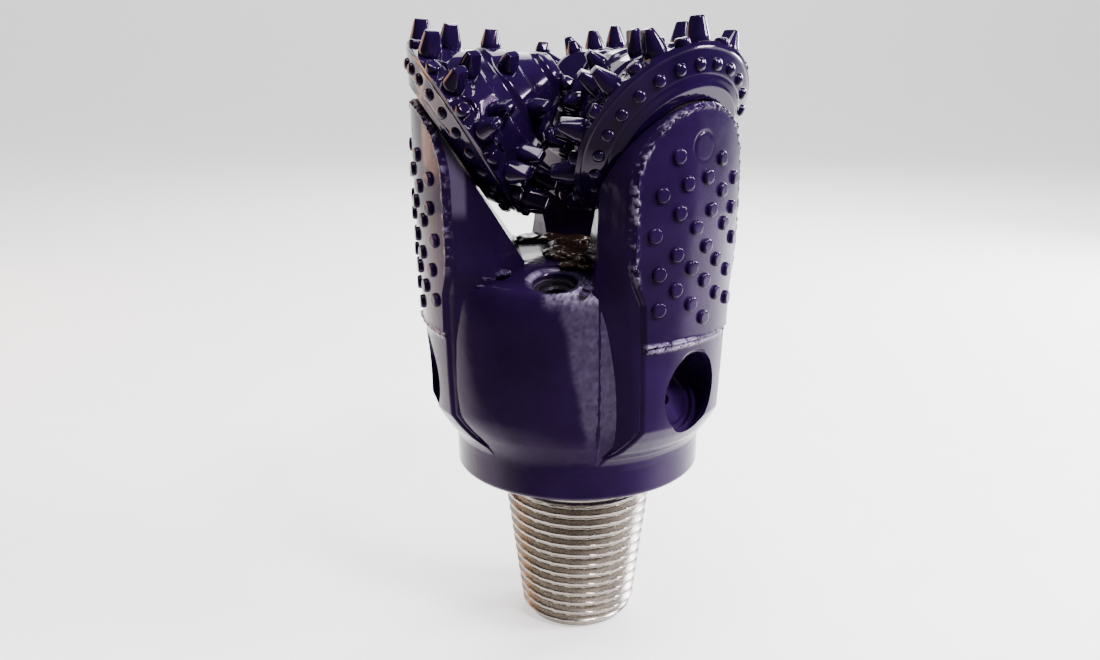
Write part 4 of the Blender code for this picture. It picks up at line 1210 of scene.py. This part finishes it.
@dataclass
class Pin:
    """The turned shank and the threaded rotary pin."""

    shank: float = 53.98
    top: float = 15.7
    base: float = 33.34
    length: float = 76.2
    taper: float = 0.125
    pitch: float = 5.08
    depth: float = 2.6
    bore: float = 12.7
    neck: float = 12.0
    rows: int = 300
    columns: int = 240

    def band(self) -> Shell:
        """Turn the painted shank with its chamfered shoulder.

        Returns:
            The closed ring.
        """
        rows = np.array([
            (self.base - 2.0, 0.05), (self.shank - 1.5, 0.0), (self.shank - 0.9, 0.25), (self.shank, 1.3),
            (self.shank, self.top), (self.base - 2.0, self.top)])
        return lathe(resample(rows, 0.8), 220, closed=True)

    def thread(self) -> Shell:
        """Cut a right-hand thread into the tapered pin.

        Along the pin the radius falls by the taper, and below the crests it dips by the thread's depth
        times a trapezoid wave of (height / pitch - angle / turn), which fades out at both ends.

        Returns:
            The closed pin with its bore.
        """
        a = np.arange(self.columns) * math.tau / self.columns
        z = np.linspace(-9.0, -self.length + 1.2, self.rows)
        zz, aa = np.meshgrid(z, a, indexing="ij")
        crest = self.base - np.maximum(-zz - self.neck, 0.0) * self.taper
        crest = crest - np.maximum(zz + self.neck, 0.0) * 0.1
        phase = np.mod(zz / self.pitch + aa / math.tau, 1.0)
        wave = np.clip((np.abs(phase - 0.5) - 0.10) / 0.32, 0.0, 1.0)
        fade = smooth(-zz, 8.5, 12.5) * (1.0 - smooth(-zz, self.length - 6.0, self.length - 2.0) * 0.45)
        nose = smooth(-zz, self.length - 5.0, self.length - 1.0) * 1.6
        r = crest - self.depth * wave * fade - nose
        skin = np.stack([r * np.cos(aa), r * np.sin(aa), zz], axis=-1)
        tip = self.base - (self.length - self.neck) * self.taper
        ends = [(self.base - 1.8, 0.8), (self.base - 1.8, -6.5), (self.base - 1.2, -8.0)]
        tail = [
            (tip - 2.9, -self.length), (self.bore + 1.5, -self.length), (self.bore, -self.length + 1.5),
            (self.bore, 12.0), (self.base - 3.0, 12.0)]
        points = np.concatenate([rings(np.array(ends), a), skin, rings(np.array(tail), a)])
        return grid(points, wrap_u=True, wrap_v=True)

    def dress(self, palette: Palette) -> None:
        """Build the band and the pin.

        Args:
            palette: The materials.
        """
        band = self.band().build("shank_band", palette[Look.LACQUER])
        pin = self.thread().build("threaded_pin", palette[Look.TURNED], 28.0)
        for piece, name in ((band, "leg_paint"), (pin, "turned_steel")):
            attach(piece, ROOT)
        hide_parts("pin_shank")
        LOG.info("pin dressed")


@dataclass
class Fittings:
    """The inner and small parts that keep their own solids and get a finish."""

    looks: dict[str, Look] = field(default_factory=lambda: {
        "bush": Look.BRONZE, "thrust_washer": Look.BRONZE, "journal_seal": Look.RUBBER,
        "ball_plug": Look.LACQUER, "ball": Look.TURNED, "diaphragm": Look.RUBBER,
        "reservoir_cap": Look.LACQUER, "reservoir_ring": Look.LACQUER, "nozzle_seal": Look.RUBBER,
        "nozzle_ring": Look.SPRING, "nozzle": Look.CARBIDE})

    def dress(self, palette: Palette) -> None:
        """Put a material in the slots of each carried solid.

        Args:
            palette: The materials.
        """
        for name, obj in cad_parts.items():
            stem = next((key for key in self.looks if name.startswith(key + "_")), None)
            if stem is None:
                continue
            if not obj.material_slots:
                obj.data.materials.append(palette[self.looks[stem]])
            for place in obj.material_slots:
                place.material = palette[self.looks[stem]]
        LOG.info("fittings dressed")


def toward(azimuth: float, up: float) -> Vector:
    """Unit direction at degrees round from the front and degrees above the floor."""
    a, e = math.radians(azimuth), math.radians(up)
    return Vector((math.sin(a) * math.cos(e), -math.cos(a) * math.cos(e), math.sin(e)))


@dataclass(frozen=True)
class Lamp:
    """A square soft light: watts, side in metres, degrees right of the camera and up, and distance."""

    name: str
    power: float
    size: float
    azimuth: float
    up: float
    away: float
    colour: Tone = WHITE


LAMPS = (
    Lamp("key", 20.0, 0.22, 40.0, 50.0, 1.3, (1.0, 0.92, 1.0)),
    Lamp("overhead", 40.0, 0.8, -20.0, 82.0, 1.9),
    Lamp("right_window", 26.0, 0.34, 83.5, 26.5, 1.2, (0.96, 0.90, 1.0)),
    Lamp("right_rear", 20.0, 0.34, 128.0, 17.0, 1.2, (0.92, 0.90, 1.0)),
    Lamp("warm_left", 6.0, 0.6, -112.0, 12.0, 1.1, (1.0, 0.55, 0.30)),
    Lamp("back", 34.0, 1.2, 168.0, 40.0, 1.7),
)


@dataclass
class Studio:
    """The floor, the soft lights and the camera of the photograph."""

    azimuth: float = 15.0
    elevation: float = 15.3
    distance: float = 0.4351
    aim: float = 0.058
    lens: float = 32.07
    floor_z: float = -0.0762
    bend_start: float = 2.2
    bend_radius: float = 0.9
    shade_span: tuple[float, float] = (0.06, 0.17)
    shade: Tone = (0.14, 0.13, 0.125)
    glow: float = 0.8
    lamp_aim: float = 0.07
    sky: float = 0.10

    def floor(self, palette: Palette) -> None:
        """Lay a wide pale floor that curves up behind the bit.

        Args:
            palette: The materials.
        """
        curve = np.linspace(0.08, math.pi / 2, 14)
        y = np.concatenate([
            np.linspace(-3.0, self.bend_start, 14), self.bend_start + self.bend_radius * np.sin(curve),
            np.full(6, 3.1)])
        rise = self.bend_radius * (1.0 - np.cos(curve))
        z = np.concatenate([np.zeros(14), rise, np.linspace(1.1, 3.4, 6)])
        x = np.linspace(-4.0, 4.0, 30)
        a = math.radians(self.azimuth)
        xx, yy = np.meshgrid(x, y, indexing="ij")
        zz = np.broadcast_to(z, xx.shape) + self.floor_z - 0.0002
        east, north = xx * math.cos(a) - yy * math.sin(a), xx * math.sin(a) + yy * math.cos(a)
        points = np.stack([east, north, zz], axis=-1)
        obj = grid(points / MM).build("studio_floor", palette[Look.FLOOR], outward=False)
        self.shade_floor(palette[Look.FLOOR])

    def shade_floor(self, mat: Mat) -> None:
        """Let the floor glow a little, and darken it in front of the bit, out of the picture.

        The share of shade rises from 0 to 1 as the distance towards the camera goes from 0.06 m to 0.17 m.

        Args:
            mat: The floor's material.
        """
        tree = mat.node_tree
        shader = tree.nodes["Principled BSDF"]
        old = shader.inputs["Base Color"].links[0].from_socket
        place = tree.nodes.new("ShaderNodeTexCoord")
        along = tree.nodes.new("ShaderNodeVectorMath")
        along.operation = "DOT_PRODUCT"
        a = math.radians(self.azimuth)
        along.inputs[1].default_value = (math.sin(a), -math.cos(a), 0.0)
        tree.links.new(place.outputs["Object"], along.inputs[0])
        share = range_node(tree, along.outputs["Value"], (*self.shade_span, 0.0, 1.0))
        tree.links.new(mix_node(tree, share, old, self.shade), shader.inputs["Base Color"])
        glow = range_node(tree, share, (0.0, 1.0, self.glow, 0.0))
        shader.inputs["Emission Color"].default_value = (*WHITE, 1.0)
        tree.links.new(glow, shader.inputs["Emission Strength"])

    def hang(self, lamp: Lamp) -> None:
        """Hang a soft light that looks at the bit.

        Args:
            lamp: The light.
        """
        data = bpy.data.lights.new(lamp.name, "AREA")
        data.energy, data.size, data.color = lamp.power, lamp.size, lamp.colour
        obj = bpy.data.objects.new(lamp.name, data)
        bpy.context.scene.collection.objects.link(obj)
        target = Vector((0.0, 0.0, self.lamp_aim))
        obj.location = target + toward(self.azimuth + lamp.azimuth, lamp.up) * lamp.away
        obj.rotation_euler = (target - obj.location).to_track_quat("-Z", "Y").to_euler()

    def build(self, palette: Palette) -> None:
        """Set the stage.

        Args:
            palette: The materials.
        """
        self.floor(palette)
        for lamp in LAMPS:
            self.hang(lamp)
        world = bpy.data.worlds.new("studio") if bpy.context.scene.world is None else bpy.context.scene.world
        bpy.context.scene.world = world
        world.use_nodes = True
        sky = world.node_tree.nodes.get("Background")
        sky.inputs["Color"].default_value = (*WHITE, 1.0)
        sky.inputs["Strength"].default_value = self.sky
        data = bpy.data.cameras.new("camera")
        data.lens, data.sensor_width, data.shift_x = self.lens, 36.0, -0.025
        data.clip_start, data.clip_end = 0.01, 50.0
        data.dof.use_dof = False
        camera = bpy.data.objects.new("camera", data)
        bpy.context.scene.collection.objects.link(camera)
        aim = Vector((0.0, 0.0, self.aim))
        way = toward(self.azimuth, self.elevation)
        camera.location = aim + way * self.distance
        camera.rotation_euler = (-way).to_track_quat("-Z", "Y").to_euler()
        bpy.context.scene.camera = camera
        LOG.info("studio set")


def main() -> None:
    """Dress the whole bit."""
    logging.basicConfig(level=logging.INFO, format="%(name)s: %(message)s")
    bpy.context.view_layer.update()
    palette = Palette()
    Studio().build(palette)
    Pin().dress(palette)
    Leg().dress(palette)
    for number in LEG_AZIMUTH:
        Cone(number).dress(palette)
    Fittings().dress(palette)


if __name__ == "__main__":
    main()
